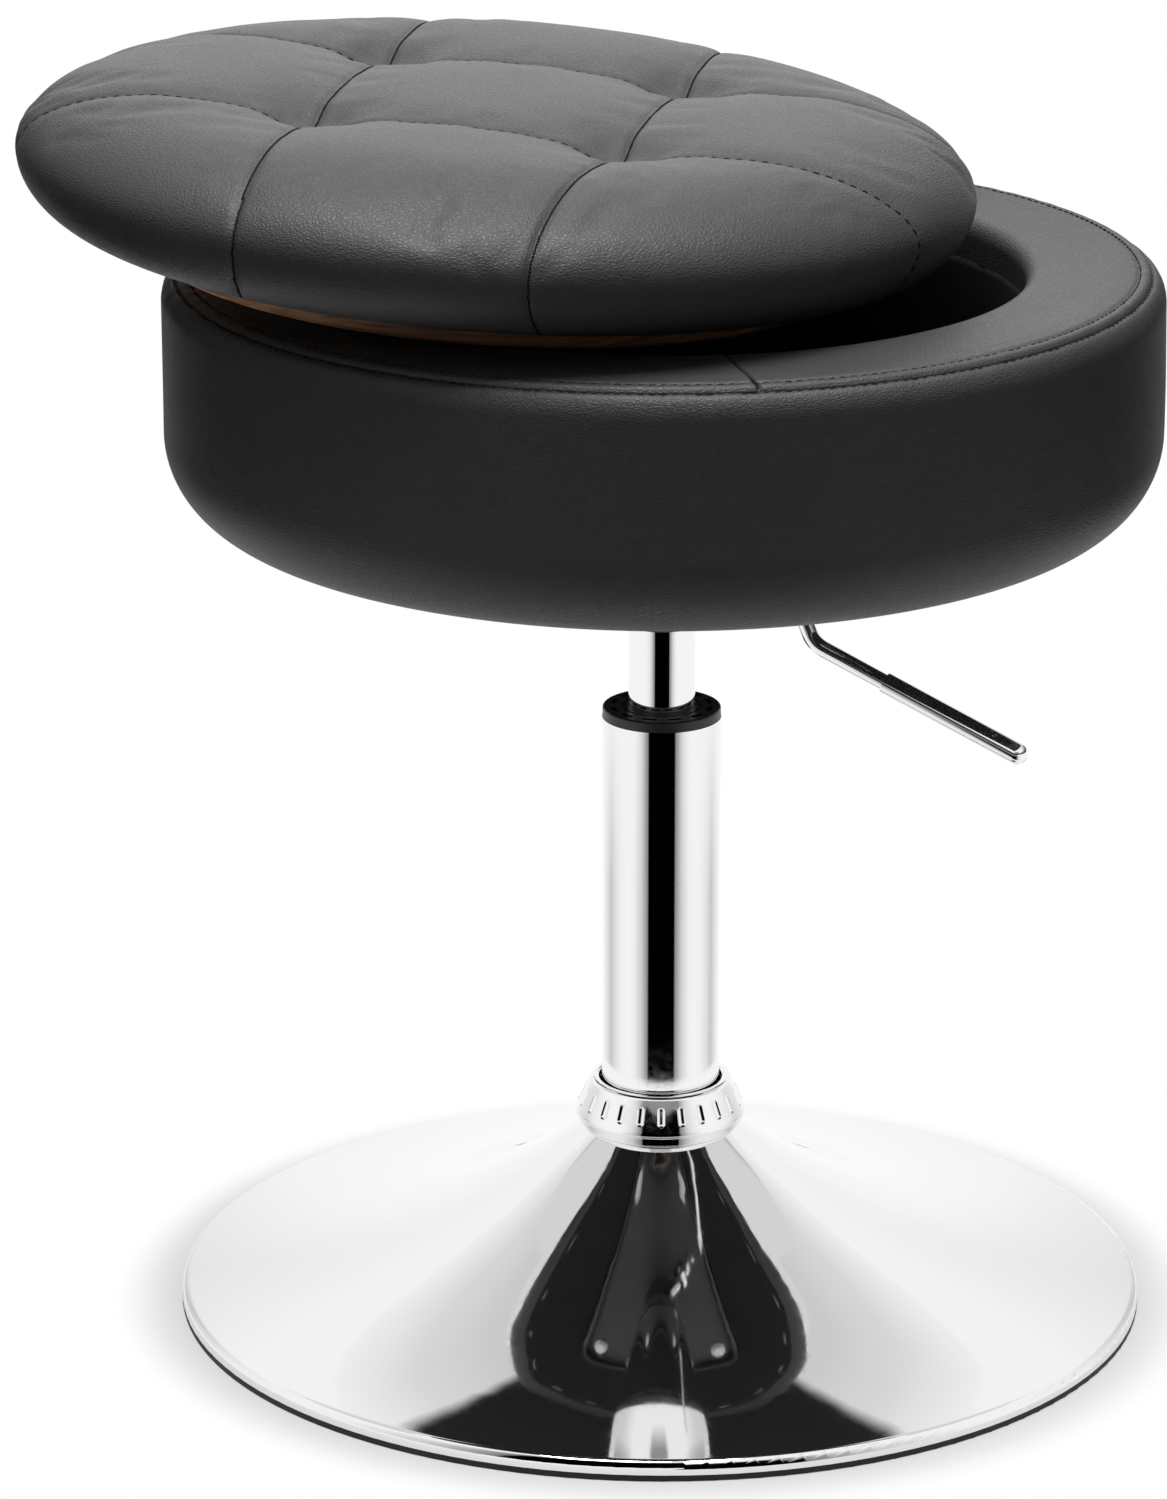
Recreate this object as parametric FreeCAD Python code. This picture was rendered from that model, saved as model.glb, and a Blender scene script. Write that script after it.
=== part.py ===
import FreeCAD, Part
import math
import os

os.makedirs("parts", exist_ok=True)

Vector = FreeCAD.Vector
UP = Vector(0, 0, 1)
ORIGIN = Vector(0, 0, 0)

# Driving dimensions in millimetres and degrees. The column's axis is Z and the floor is z = 0.

# Fits
FIT = 0.2                   # air between nested pieces that don't move against each other
RUN = 0.05                  # radial clearance of a pin or shaft that turns or slides
AIR = 0.3                   # air between pieces that move and don't bear on each other

# Base dish and its rubber edge
BASE_RADIUS = 205.0
BASE_SHEET = 2.0
LIP_HEIGHT = 6.0
LIP_ROUND = 3.5
FLARE_REACH = 62.0          # handle of the flare's curve at the lip
FLARE_RISE = 4.5
NECK_LEDGE = 8.0            # how far the neck's flat top stands out from the column
NECK_TOP = 78.0
NECK_REACH = 40.0           # handle of the flare's curve at the neck
NECK_LEAN = 47.5
EDGE_RING_HEIGHT = 3.0
EDGE_RING_WIDTH = 8.0
EDGE_RING_TONGUE = 3.0

# Column, with the parts that clamp it and the collar that hides them
COLUMN_RADIUS = 25.0
COLUMN_WALL = 1.8
COLUMN_BOTTOM = 14.0
COLUMN_TOP = 258.5
FOOT_THICKNESS = 10.0
SHOULDER_HEIGHT = 5.0
NECK_WASHER = 2.0
NECK_NUT_HEIGHT = 9.0
NECK_NUT_SLOTS = 6
COLLAR_HEIGHT = 20.5
COLLAR_BULGE = 3.8          # how far the collar stands out past the neck
COLLAR_WALL = 2.2
COLLAR_GAP = 1.1            # gap round the tube at the collar's mouth
COLLAR_DIMPLES = 24
DIMPLE_LENGTH = 9.8
DIMPLE_RADIUS = 2.2
DIMPLE_DEPTH = 0.8

# Guide bush in the column's mouth
CAP_HEIGHT = 4.5
BUSH_LENGTH = 58.0
CAP_SLOTS = 12
CAP_SLOT_WIDTH = 2.2
CAP_SLOT_DEPTH = 1.6
CAP_SLOT_ANGLE = 17.0
WIPER_WALL = 1.5
WIPER_GROOVE = 1.1

# Thrust bearing, rod and gas spring
STUD_RADIUS = 4.0
ROD_RADIUS = 5.0
RACE_RADIUS = 11.0
RACE_THICKNESS = 2.0
BALL_RADIUS = 1.5
BALL_COUNT = 10
BALL_CIRCLE = 7.8
CAGE_THICKNESS = 1.0
BUFFER_HEIGHT = 10.0
CLIP_WASHER = 1.5
CLIP_RADIUS = 7.0
CLIP_THICKNESS = 1.2
CLIP_GROOVE = 1.0
STUD_END = 2.5
CYLINDER_RADIUS = 14.0
CYLINDER_WALL = 1.8
GUIDE_LENGTH = 12.0
SEAL_LENGTH = 4.0
PISTON_LENGTH = 18.0
PISTON_GROOVE = 2.0
PISTON_MARGIN = 5.0
VALVE_LENGTH = 24.0
TAPER_LENGTH = 30.0
TAPER = 0.8                 # how much the radius shrinks along the taper
LIFT_DOWN = 35.0            # travel left below the height in the photograph
LIFT_UP = 105.0             # travel left above it
STOP_GAP = 1.0

# Release pin and lever
PIN_RADIUS = 3.6
PIN_STAND = 3.6             # how far the pin stands out of the cylinder
PIN_LENGTH = 14.0
PIN_ROOM = 4.0              # depth left below the pin
LEVER_AZIMUTH = -28.0
LEVER_RADIUS = 3.5
LEVER_TAIL = 4.0            # how far the inner arm reaches past the axis
LEVER_KNEE = 17.3           # from the pivot out to the first bend
LEVER_DROP = 37.8
LEVER_DROP_OUT = 17.2
LEVER_ARM = 92.6
LEVER_ARM_DROP = 33.4
LEVER_BEND = 12.0
GRIP_START = 35.0           # from the second bend to the grip
GRIP_RADIUS = 4.5
PIVOT_GAP = 17.5            # from the hub's wall to the pivot
PIVOT_RADIUS = 2.5
BOSS_RADIUS = 6.0
BOSS_LENGTH = 10.0
BRACKET_SHEET = 2.5
BRACKET_DEPTH = 14.0

# Mounting plate and its bolts
HUB_WALL = 4.5
PLATE_SIZE = 150.0
PLATE_CORNER = 12.0
PLATE_SHEET = 2.5
PLATE_FLANGE = 9.0
BOLT_INSET = 16.0
BOLT_RADIUS = 3.0
BOLT_HEAD_RADIUS = 5.6
BOLT_HEAD = 4.2
WASHER_RADIUS = 7.0
WASHER_THICKNESS = 1.5
TEE_FLANGE_RADIUS = 9.0
TEE_FLANGE = 1.5
TEE_BARREL_WALL = 1.5

# Drum
DRUM_RADIUS = 206.0
DRUM_HEIGHT = 106.0
RIM_WIDTH = 57.5
HOLE_RADIUS = DRUM_RADIUS - RIM_WIDTH
RIM_EDGE_ROUND = 7.0
SHOULDER_ROUND = 13.0
BOTTOM_ROUND = 38.0
COVER = 1.4
SEAM_DROP = 2.6             # how far the rim's seam lies below the rim's top
RIM_TUCK = 18.0
RIM_PAD = 14.0
LINING = 1.4
WALL_THICKNESS = 12.0
FLOOR_THICKNESS = 12.0
HEM_WIDTH = 24.0
DUST_COVER = 0.8

# Lid, and how it lies askew on the rim
LID_INSET = 9.6             # how far the lid's edge stays inside the drum's
LID_RADIUS = DRUM_RADIUS - LID_INSET
LID_ROUND = 27.0
LID_CROWN = 61.0
LID_BOARD = 9.0
LID_BOARD_MARGIN = 2.0
PLUG_CLEARANCE = 6.5        # room round the plug in the drum's mouth
PLUG_RADIUS = HOLE_RADIUS - PLUG_CLEARANCE
PLUG_DROP = 11.0
PLUG_BEVEL = 1.5
TUFT_PITCH = 127.0
TUFT_TURN = -11.9
TUFT_DEPTH = 10.0
TUFT_SPREAD = 36.0
TUFT_CORD = 0.8
ANCHOR_RADIUS = 6.0
ANCHOR_THICKNESS = 1.5
LID_SCREWS = 6
LID_SCREW_INSET = 24.0
LID_SCREW_CIRCLE = PLUG_RADIUS - LID_SCREW_INSET
LID_SCREW_RADIUS = 2.0
LID_SCREW_HEAD = 4.0
LID_SHIFT = 70.0
LID_TILT = 3.8

# Heights and radii that follow from the sizes above
lip_top = EDGE_RING_HEIGHT + LIP_HEIGHT
neck_radius = COLUMN_RADIUS + NECK_LEDGE
neck_slope = math.atan2(NECK_REACH, NECK_LEAN)
column_bore = COLUMN_RADIUS - COLUMN_WALL
shoulder_radius = COLUMN_RADIUS + 0.5 * NECK_LEDGE
foot_top = COLUMN_BOTTOM + FOOT_THICKNESS
ball_height = foot_top + RACE_THICKNESS + BALL_RADIUS
upper_race = ball_height + BALL_RADIUS
rod_seat = upper_race + RACE_THICKNESS
buffer_top = rod_seat + BUFFER_HEIGHT
cap_top = COLUMN_TOP + CAP_HEIGHT
bush_bottom = COLUMN_TOP - BUSH_LENGTH
cylinder_bottom = buffer_top + STOP_GAP + LIFT_DOWN
cylinder_bore = CYLINDER_RADIUS - CYLINDER_WALL
hub_bottom = cap_top + 2 * STOP_GAP + LIFT_DOWN
hub_radius = CYLINDER_RADIUS + HUB_WALL
cylinder_top = hub_bottom + TAPER_LENGTH
valve_bottom = cylinder_top - VALVE_LENGTH
guide_top = cylinder_bottom + GUIDE_LENGTH
seal_top = guide_top + SEAL_LENGTH
piston_bottom = seal_top + LIFT_UP + PISTON_MARGIN
piston_top = piston_bottom + PISTON_LENGTH
pin_top = cylinder_top + PIN_STAND
pivot_height = pin_top + AIR + LEVER_RADIUS
pivot_reach = hub_radius + PIVOT_GAP
plate_bottom = pivot_height + BOSS_RADIUS + 2 * AIR + BRACKET_SHEET
plate_top = plate_bottom + PLATE_SHEET
drum_bottom = plate_top - COVER
rim_top = drum_bottom + DRUM_HEIGHT
floor_top = plate_top + FLOOR_THICKNESS
wall_inner = HOLE_RADIUS + max(LINING, COVER) + FIT
wall_outer = wall_inner + WALL_THICKNESS
wall_top = rim_top - RIM_PAD
seam_height = rim_top - SEAM_DROP
flat_edge = DRUM_RADIUS - BOTTOM_ROUND
hem_radius = flat_edge - HEM_WIDTH
bolt_offset = PLATE_SIZE / 2 - BOLT_INSET
lid_board_radius = LID_RADIUS - LID_ROUND - LID_BOARD_MARGIN
lid_board_top = COVER + LID_BOARD
tuft_bottom = LID_CROWN - TUFT_DEPTH


# Shared shapes

def disc(radius, low, high):
    return Part.makeCylinder(radius, high - low, Vector(0, 0, low))


def ring(inner, outer, low, high):
    return disc(outer, low, high).cut(disc(inner, low - 1, high + 1))


def at(shape, x, y, z=0.0):
    """A copy of the shape moved by x, y and z."""
    moved = shape.copy()
    moved.translate(Vector(x, y, z))
    return moved


def around(shape, count, start=0.0):
    """Copies of the shape, evenly spaced round the Z axis."""
    copies = []
    for index in range(count):
        copy = shape.copy()
        copy.rotate(ORIGIN, UP, start + 360.0 * index / count)
        copies.append(copy)
    return copies


def revolved(edges):
    return Part.Face(Part.Wire(edges)).revolve(ORIGIN, UP, 360)


def turned(corners):
    """A solid of revolution from a closed outline of (radius, height, corner rounding)."""
    ends = []
    for index, (radius, height, rounding) in enumerate(corners):
        corner = Vector(radius, 0, height)
        if not rounding:
            ends.append((corner, None, corner))
            continue
        before = corners[index - 1]
        after = corners[(index + 1) % len(corners)]
        back = (Vector(before[0], 0, before[1]) - corner).normalize()
        on = (Vector(after[0], 0, after[1]) - corner).normalize()
        half = back.getAngle(on) / 2
        reach = rounding / math.tan(half)
        middle = (back + on).normalize() * (rounding / math.sin(half) - rounding)
        ends.append((corner + back * reach, corner + middle, corner + on * reach))
    edges = []
    for index, (start, middle, end) in enumerate(ends):
        if middle:
            edges.append(Part.Arc(start, middle, end).toShape())
        following = ends[(index + 1) % len(ends)][0]
        if end.distanceToPoint(following) > 1e-6:
            edges.append(Part.LineSegment(end, following).toShape())
    return revolved(edges)


def rounded_square(size, corner, low, high):
    block = Part.makeBox(size, size, high - low, Vector(-size / 2, -size / 2, low))
    upright = [e for e in block.Edges if abs(e.tangentAt(e.FirstParameter).z) > 0.9]
    return block.makeFillet(corner, upright)


def at_bolts(shape):
    """One copy of the shape at each of the plate's four bolts."""
    signs = ((1, 1), (-1, 1), (-1, -1), (1, -1))
    return [at(shape, sx * bolt_offset, sy * bolt_offset) for sx, sy in signs]


def line(start, end):
    return Part.LineSegment(Vector(start[0], 0, start[1]), Vector(end[0], 0, end[1])).toShape()


def arc(start, middle, end):
    points = [Vector(p[0], 0, p[1]) for p in (start, middle, end)]
    return Part.Arc(*points).toShape()


# Base: the trumpet is one curve with a handle at the lip and one at the neck

def flare(start, end):
    curve = Part.BezierCurve()
    curve.setPoles([
        Vector(start[0], 0, start[1]),
        Vector(start[0] - FLARE_REACH, 0, start[1] + FLARE_RISE),
        Vector(end[0] + NECK_LEAN, 0, end[1] - NECK_REACH),
        Vector(end[0], 0, end[1]),
    ])
    return curve.toShape()


def base_dish():
    """Spun sheet: lip, flare and flat neck with a hole for the tube, all one wall thick."""
    hole = COLUMN_RADIUS + FIT
    sheet = BASE_SHEET
    flare_start = BASE_RADIUS - LIP_ROUND
    lip_centre = (flare_start, lip_top - LIP_ROUND)
    slant = math.sqrt(0.5)
    inner_round = LIP_ROUND - sheet
    outside = [
        (BASE_RADIUS, lip_centre[1]),
        (flare_start + LIP_ROUND * slant, lip_centre[1] + LIP_ROUND * slant),
        (flare_start, lip_top),
    ]
    inside = [
        (flare_start, lip_top - sheet),
        (flare_start + inner_round * slant, lip_centre[1] + inner_round * slant),
        (BASE_RADIUS - sheet, lip_centre[1]),
    ]
    foot_in = (BASE_RADIUS - sheet, EDGE_RING_HEIGHT)
    foot_out = (BASE_RADIUS, EDGE_RING_HEIGHT)
    neck_out = (neck_radius, NECK_TOP)
    neck_in = (neck_radius - sheet * math.tan(neck_slope / 2), NECK_TOP - sheet)
    return revolved([
        line(foot_out, outside[0]),
        arc(*outside),
        flare(outside[2], neck_out),
        line(neck_out, (hole, NECK_TOP)),
        line((hole, NECK_TOP), (hole, NECK_TOP - sheet)),
        line((hole, NECK_TOP - sheet), neck_in),
        flare(inside[0], neck_in),
        arc(*inside),
        line(inside[2], foot_in),
        line(foot_in, foot_out),
    ])


def base_edge_ring():
    """Rubber foot under the lip with a tongue pushed up inside it."""
    tongue = BASE_RADIUS - BASE_SHEET - FIT
    inner = BASE_RADIUS - EDGE_RING_WIDTH
    return turned([
        (inner, 0, 0.8),
        (BASE_RADIUS, 0, 0.8),
        (BASE_RADIUS, EDGE_RING_HEIGHT, 0),
        (tongue, EDGE_RING_HEIGHT, 0),
        (tongue, EDGE_RING_HEIGHT + EDGE_RING_TONGUE, 0),
        (inner, EDGE_RING_HEIGHT + EDGE_RING_TONGUE, 0),
    ])


def neck_ring_nut():
    """Round nut with spanner slots in its lower edge."""
    top = NECK_TOP - BASE_SHEET - NECK_WASHER
    low = top - NECK_NUT_HEIGHT
    outer = COLUMN_RADIUS + 0.7 * (NECK_LEDGE - BASE_SHEET)
    nut = ring(COLUMN_RADIUS, outer, low, top)
    slot = Part.makeBox(NECK_LEDGE, 6, NECK_NUT_HEIGHT / 2, Vector(COLUMN_RADIUS + 1.2, -3, low - 1))
    return nut.cut(around(slot, NECK_NUT_SLOTS))


def column_collar():
    """Trim ring standing on the neck, with a ring of oblong dimples pressed into its cone."""
    bottom, top = NECK_TOP, NECK_TOP + COLLAR_HEIGHT
    seat = shoulder_radius + AIR
    bulge = neck_radius + COLLAR_BULGE
    mouth = COLUMN_RADIUS + COLLAR_GAP
    brow = mouth + 1.6 * COLLAR_WALL
    wide = bottom + 0.25 * COLLAR_HEIGHT
    shell = turned([
        (seat, bottom, 0),
        (neck_radius + 0.8, bottom, 1.5),
        (bulge, wide, 3.0),
        (brow, top, 2.2),
        (mouth, top, 0.8),
        (mouth, top - COLLAR_WALL, 0),
        (brow - COLLAR_WALL, top - COLLAR_WALL, 0),
        (bulge - COLLAR_WALL, wide, 0),
        (neck_radius, bottom + COLLAR_WALL, 0),
        (seat, bottom + COLLAR_WALL, 0),
    ])
    cone_low, cone_high = Vector(bulge, 0, wide), Vector(brow, 0, top)
    slope = (cone_high - cone_low).normalize()
    outward = Vector(slope.z, 0, -slope.x)
    centre = (cone_low + cone_high) * 0.5 + outward * (DIMPLE_RADIUS - DIMPLE_DEPTH)
    straight = DIMPLE_LENGTH - 2 * DIMPLE_RADIUS
    low, high = centre - slope * (straight / 2), centre + slope * (straight / 2)
    oblong = Part.makeCylinder(DIMPLE_RADIUS, straight, low, slope)
    oblong = oblong.fuse([Part.makeSphere(DIMPLE_RADIUS, low), Part.makeSphere(DIMPLE_RADIUS, high)])
    return shell.cut(around(oblong, COLLAR_DIMPLES, -90.0))


def column_bush():
    """Guide sleeve under a cap with arc slots, a ring groove and a wiper lip round the cylinder."""
    bore = CYLINDER_RADIUS + 2 * RUN
    wiper = bore + WIPER_WALL
    slot_middle = COLUMN_RADIUS - 2 * CAP_SLOT_WIDTH
    bush = turned([
        (bore, bush_bottom, 0.6),
        (column_bore - RUN, bush_bottom, 1.0),
        (column_bore - RUN, COLUMN_TOP, 0),
        (COLUMN_RADIUS - FIT, COLUMN_TOP, 0),
        (COLUMN_RADIUS - FIT, cap_top, 0.8),
        (bore, cap_top, 0.5),
    ])
    groove = ring(wiper, wiper + WIPER_GROOVE, cap_top - CAP_SLOT_DEPTH, cap_top + 1)
    slot = Part.makeCylinder(slot_middle + CAP_SLOT_WIDTH / 2, CAP_SLOT_DEPTH + 1,
                             Vector(0, 0, cap_top - CAP_SLOT_DEPTH), UP, CAP_SLOT_ANGLE)
    slot = slot.cut(disc(slot_middle - CAP_SLOT_WIDTH / 2, cap_top - 9, cap_top + 9))
    return bush.cut([groove] + around(slot, CAP_SLOTS, -CAP_SLOT_ANGLE / 2 + 180.0 / CAP_SLOTS))


# Thrust bearing, rod and gas spring

def bearing_balls():
    ball = Part.makeSphere(BALL_RADIUS - 0.02, Vector(BALL_CIRCLE, 0, ball_height))
    return Part.makeCompound(around(ball, BALL_COUNT))


def bearing_cage():
    half = CAGE_THICKNESS / 2
    cage = ring(STUD_RADIUS + AIR, RACE_RADIUS - AIR, ball_height - half, ball_height + half)
    pocket = Part.makeCylinder(BALL_RADIUS + RUN, CAGE_THICKNESS + 2,
                               Vector(BALL_CIRCLE, 0, ball_height - half - 1))
    return cage.cut(around(pocket, BALL_COUNT))


clip_top = COLUMN_BOTTOM - 2 * RUN - CLIP_WASHER
stud_bottom = clip_top - CLIP_THICKNESS - STUD_END


def piston_rod():
    """Stud through the foot disc with a clip groove, then the rod up to the piston's top."""
    groove = STUD_RADIUS - CLIP_GROOVE
    return turned([
        (0, stud_bottom, 0),
        (STUD_RADIUS, stud_bottom, 0.6),
        (STUD_RADIUS, clip_top - CLIP_THICKNESS - RUN, 0),
        (groove, clip_top - CLIP_THICKNESS - RUN, 0),
        (groove, clip_top, 0),
        (STUD_RADIUS, clip_top, 0),
        (STUD_RADIUS, rod_seat, 0),
        (ROD_RADIUS, rod_seat, 0),
        (ROD_RADIUS, piston_top, 0.6),
        (0, piston_top, 0),
    ])


def rod_clip():
    """Clip pushed into the stud's groove from one side."""
    groove = STUD_RADIUS - CLIP_GROOVE
    clip = ring(groove + RUN, CLIP_RADIUS, clip_top - CLIP_THICKNESS, clip_top)
    mouth = Part.makeBox(2 * CLIP_RADIUS, 1.6 * groove, 9, Vector(0, -0.8 * groove, clip_top - 5))
    return clip.cut(mouth)


piston_waist = (piston_bottom + piston_top) / 2


def piston():
    outer = cylinder_bore - 2 * RUN
    body = ring(ROD_RADIUS, outer, piston_bottom, piston_top - FIT)
    half = PISTON_GROOVE
    return body.cut(ring(outer - PISTON_GROOVE, outer + 1, piston_waist - half, piston_waist + half))


def piston_seal():
    outer = cylinder_bore - RUN
    half = PISTON_GROOVE - FIT
    return ring(outer - PISTON_GROOVE + FIT, outer, piston_waist - half, piston_waist + half)


def gas_cylinder():
    """Plain tube whose top narrows into the hub."""
    return turned([
        (cylinder_bore, cylinder_bottom, 0),
        (CYLINDER_RADIUS, cylinder_bottom, 0.8),
        (CYLINDER_RADIUS, hub_bottom, 0),
        (CYLINDER_RADIUS - TAPER, cylinder_top, 0.3),
        (cylinder_bore, cylinder_top, 0),
    ])


pin_bottom = pin_top - PIN_LENGTH


def valve_body():
    bore = disc(PIN_RADIUS + RUN, pin_bottom - PIN_ROOM, cylinder_top + 1)
    return disc(cylinder_bore, valve_bottom, cylinder_top).cut(bore)


def release_pin():
    """Pin with a domed top, so the lever's arm always bears on its crown."""
    dome = 0.5 * PIN_RADIUS
    return turned([
        (0, pin_bottom, 0),
        (PIN_RADIUS, pin_bottom, 0.4),
        (PIN_RADIUS, pin_top, dome),
        (0, pin_top, 0),
    ])


# Mechanism under the drum. The lever is drawn in the XZ plane and then turned to its azimuth.

def to_azimuth(shape):
    turned_shape = shape.copy()
    turned_shape.rotate(ORIGIN, UP, LEVER_AZIMUTH)
    return turned_shape


def mechanism_hub():
    """Socket with a taper that matches the cylinder's, and a window for the lever's inner arm."""
    socket = turned([
        (CYLINDER_RADIUS + RUN, hub_bottom, 0.4),
        (hub_radius, hub_bottom, 1.2),
        (hub_radius, plate_bottom, 0),
        (CYLINDER_RADIUS - TAPER + RUN, plate_bottom, 0),
        (CYLINDER_RADIUS - TAPER + RUN, cylinder_top, 0),
    ])
    width = 2 * (LEVER_RADIUS + 3 * AIR)
    window = Part.makeBox(2 * hub_radius, width, plate_bottom - cylinder_top,
                          Vector(0, -width / 2, cylinder_top + AIR))
    return socket.cut(to_azimuth(window))


def mechanism_plate():
    """Square pan pressed with its edges turned down."""
    low = plate_bottom - PLATE_FLANGE
    pan = rounded_square(PLATE_SIZE, PLATE_CORNER, low, plate_top)
    inside = rounded_square(PLATE_SIZE - 2 * PLATE_SHEET, PLATE_CORNER - PLATE_SHEET, low - 1, plate_bottom)
    holes = at_bolts(disc(BOLT_RADIUS + FIT, low, plate_top + 1))
    return pan.cut([inside] + holes)


bracket_width = BOSS_LENGTH + 2 * AIR + 2 * BRACKET_SHEET


def lever_bracket():
    """Channel welded under the plate, whose two ears carry the pivot pin."""
    length = 2.4 * BOSS_RADIUS
    low = plate_bottom - BRACKET_DEPTH - BRACKET_SHEET
    corner = Vector(pivot_reach - length / 2, -bracket_width / 2, low)
    channel = Part.makeBox(length, bracket_width, plate_bottom - low, corner)
    gap = bracket_width - 2 * BRACKET_SHEET
    inside = Part.makeBox(length + 2, gap, BRACKET_DEPTH + 1, Vector(corner.x - 1, -gap / 2, low - 1))
    bore = Part.makeCylinder(PIVOT_RADIUS + RUN, bracket_width + 2,
                             Vector(pivot_reach, -bracket_width / 2 - 1, pivot_height), Vector(0, 1, 0))
    return to_azimuth(channel.cut([inside, bore]))


def lever_pivot_pin():
    """Pin with a flat head at one end, through both ears."""
    start = Vector(pivot_reach, -bracket_width / 2 - 1.5, pivot_height)
    along = Vector(0, 1, 0)
    pin = Part.makeCylinder(PIVOT_RADIUS, bracket_width + 3, start, along)
    head = Part.makeCylinder(PIVOT_RADIUS + 1.4, 1.5, start, along)
    return to_azimuth(pin.fuse(head).removeSplitter())


def lever_points():
    """Centre line of the lever in the XZ plane: tail, knee, elbow and tip."""
    tail = Vector(-LEVER_TAIL, 0, pivot_height)
    knee = Vector(pivot_reach + LEVER_KNEE, 0, pivot_height)
    elbow = knee + Vector(LEVER_DROP_OUT, 0, -LEVER_DROP)
    tip = elbow + Vector(LEVER_ARM, 0, -LEVER_ARM_DROP)
    return tail, knee, elbow, tip


def bent_path(points, bend):
    """A wire of straight runs joined by arcs of one bend radius."""
    edges = []
    start = points[0]
    for before, corner, after in zip(points, points[1:], points[2:]):
        back = (before - corner).normalize()
        on = (after - corner).normalize()
        half = back.getAngle(on) / 2
        reach = bend / math.tan(half)
        middle = corner + (back + on).normalize() * (bend / math.sin(half) - bend)
        edges.append(Part.LineSegment(start, corner + back * reach).toShape())
        edges.append(Part.Arc(corner + back * reach, middle, corner + on * reach).toShape())
        start = corner + on * reach
    edges.append(Part.LineSegment(start, points[-1]).toShape())
    return Part.Wire(edges)


def lever_rod():
    """Bent rod with a cross boss that turns on the pivot pin."""
    points = lever_points()
    path = bent_path(points, LEVER_BEND)
    section = Part.Wire(Part.Circle(points[0], Vector(1, 0, 0), LEVER_RADIUS).toShape())
    rod = path.makePipeShell([section], True, True)
    start = Vector(pivot_reach, -BOSS_LENGTH / 2, pivot_height)
    boss = Part.makeCylinder(BOSS_RADIUS, BOSS_LENGTH, start, Vector(0, 1, 0))
    bore = Part.makeCylinder(PIVOT_RADIUS + RUN, BOSS_LENGTH + 2, start - Vector(0, 1, 0), Vector(0, 1, 0))
    return to_azimuth(rod.fuse(boss).cut(bore))


def lever_grip():
    """Sleeve pushed over the rod's outer end, closed by a round nose."""
    _, _, elbow, tip = lever_points()
    along = (tip - elbow).normalize()
    start = elbow + along * GRIP_START
    length = (tip - start).Length
    sleeve = Part.makeCylinder(GRIP_RADIUS, length, start, along)
    sleeve = sleeve.fuse(Part.makeSphere(GRIP_RADIUS, tip))
    bore = Part.makeCylinder(LEVER_RADIUS + RUN, length + RUN, start, along)
    return to_azimuth(sleeve.cut(bore).removeSplitter())


bolt_low = plate_bottom - WASHER_THICKNESS


def plate_bolts():
    head = Part.makePolygon([
        Vector(BOLT_HEAD_RADIUS * math.cos(math.radians(60 * k)),
               BOLT_HEAD_RADIUS * math.sin(math.radians(60 * k)), bolt_low - BOLT_HEAD)
        for k in range(7)
    ])
    head = Part.Face(head).extrude(Vector(0, 0, BOLT_HEAD))
    bolt = head.fuse(disc(BOLT_RADIUS, bolt_low, floor_top - TEE_FLANGE)).removeSplitter()
    return Part.makeCompound(at_bolts(bolt))


def plate_washers():
    return Part.makeCompound(at_bolts(ring(BOLT_RADIUS + RUN, WASHER_RADIUS, bolt_low, plate_bottom)))


tee_barrel = BOLT_RADIUS + TEE_BARREL_WALL


def tee_nuts():
    flange = disc(TEE_FLANGE_RADIUS, floor_top - TEE_FLANGE, floor_top)
    barrel = disc(tee_barrel, plate_top + FIT, floor_top - TEE_FLANGE)
    bore = disc(BOLT_RADIUS + RUN, plate_top - 1, floor_top - TEE_FLANGE + FIT)
    return Part.makeCompound(at_bolts(flange.fuse(barrel).cut(bore).removeSplitter()))


# Drum

def drum_floor_board():
    holes = at_bolts(disc(tee_barrel + FIT, plate_top - 1, floor_top + 1))
    seats = at_bolts(disc(TEE_FLANGE_RADIUS + FIT, floor_top - TEE_FLANGE, floor_top + 1))
    return disc(wall_outer, plate_top, floor_top).cut(holes + seats)


def upholstery(inset):
    """The padded ring's outside, drawn in by an inset."""
    return turned([
        (HOLE_RADIUS + inset, rim_top - inset, RIM_EDGE_ROUND - inset),
        (DRUM_RADIUS - inset, rim_top - inset, SHOULDER_ROUND - inset),
        (DRUM_RADIUS - inset, drum_bottom + inset, BOTTOM_ROUND - inset),
        (HOLE_RADIUS + inset, drum_bottom + inset, 0),
    ])


def drum_foam():
    """Padding round the wall and over its top edge."""
    hollow = disc(wall_outer + FIT, drum_bottom - 1, wall_top + FIT)
    return upholstery(COVER + FIT).cut(hollow)


def drum_covers():
    """The rim cover, from its tuck in the mouth out to the seam, and the side cover down to its hem."""
    skin = upholstery(0).cut(upholstery(COVER))
    tuck = disc(HOLE_RADIUS + RIM_EDGE_ROUND, rim_top - RIM_TUCK, seam_height)
    rim = skin.common(disc(DRUM_RADIUS + 1, seam_height, rim_top + 1).fuse(tuck))
    below_seam = disc(DRUM_RADIUS + 1, drum_bottom - 1, seam_height)
    side = skin.common(below_seam.cut(disc(hem_radius, drum_bottom - 2, seam_height + 1)))
    side = side.cut(disc(wall_outer, floor_top - FLOOR_THICKNESS, rim_top))
    return rim.removeSplitter(), side.removeSplitter()


def storage_lining():
    """Cloth cup glued to the floor and the wall, up to the rim cover's tuck."""
    outer = HOLE_RADIUS + LINING
    return turned([
        (0, floor_top, 0),
        (outer, floor_top, 0),
        (outer, rim_top - RIM_TUCK, 0),
        (HOLE_RADIUS, rim_top - RIM_TUCK, 0),
        (HOLE_RADIUS, floor_top + LINING, 0),
        (0, floor_top + LINING, 0),
    ])


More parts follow.
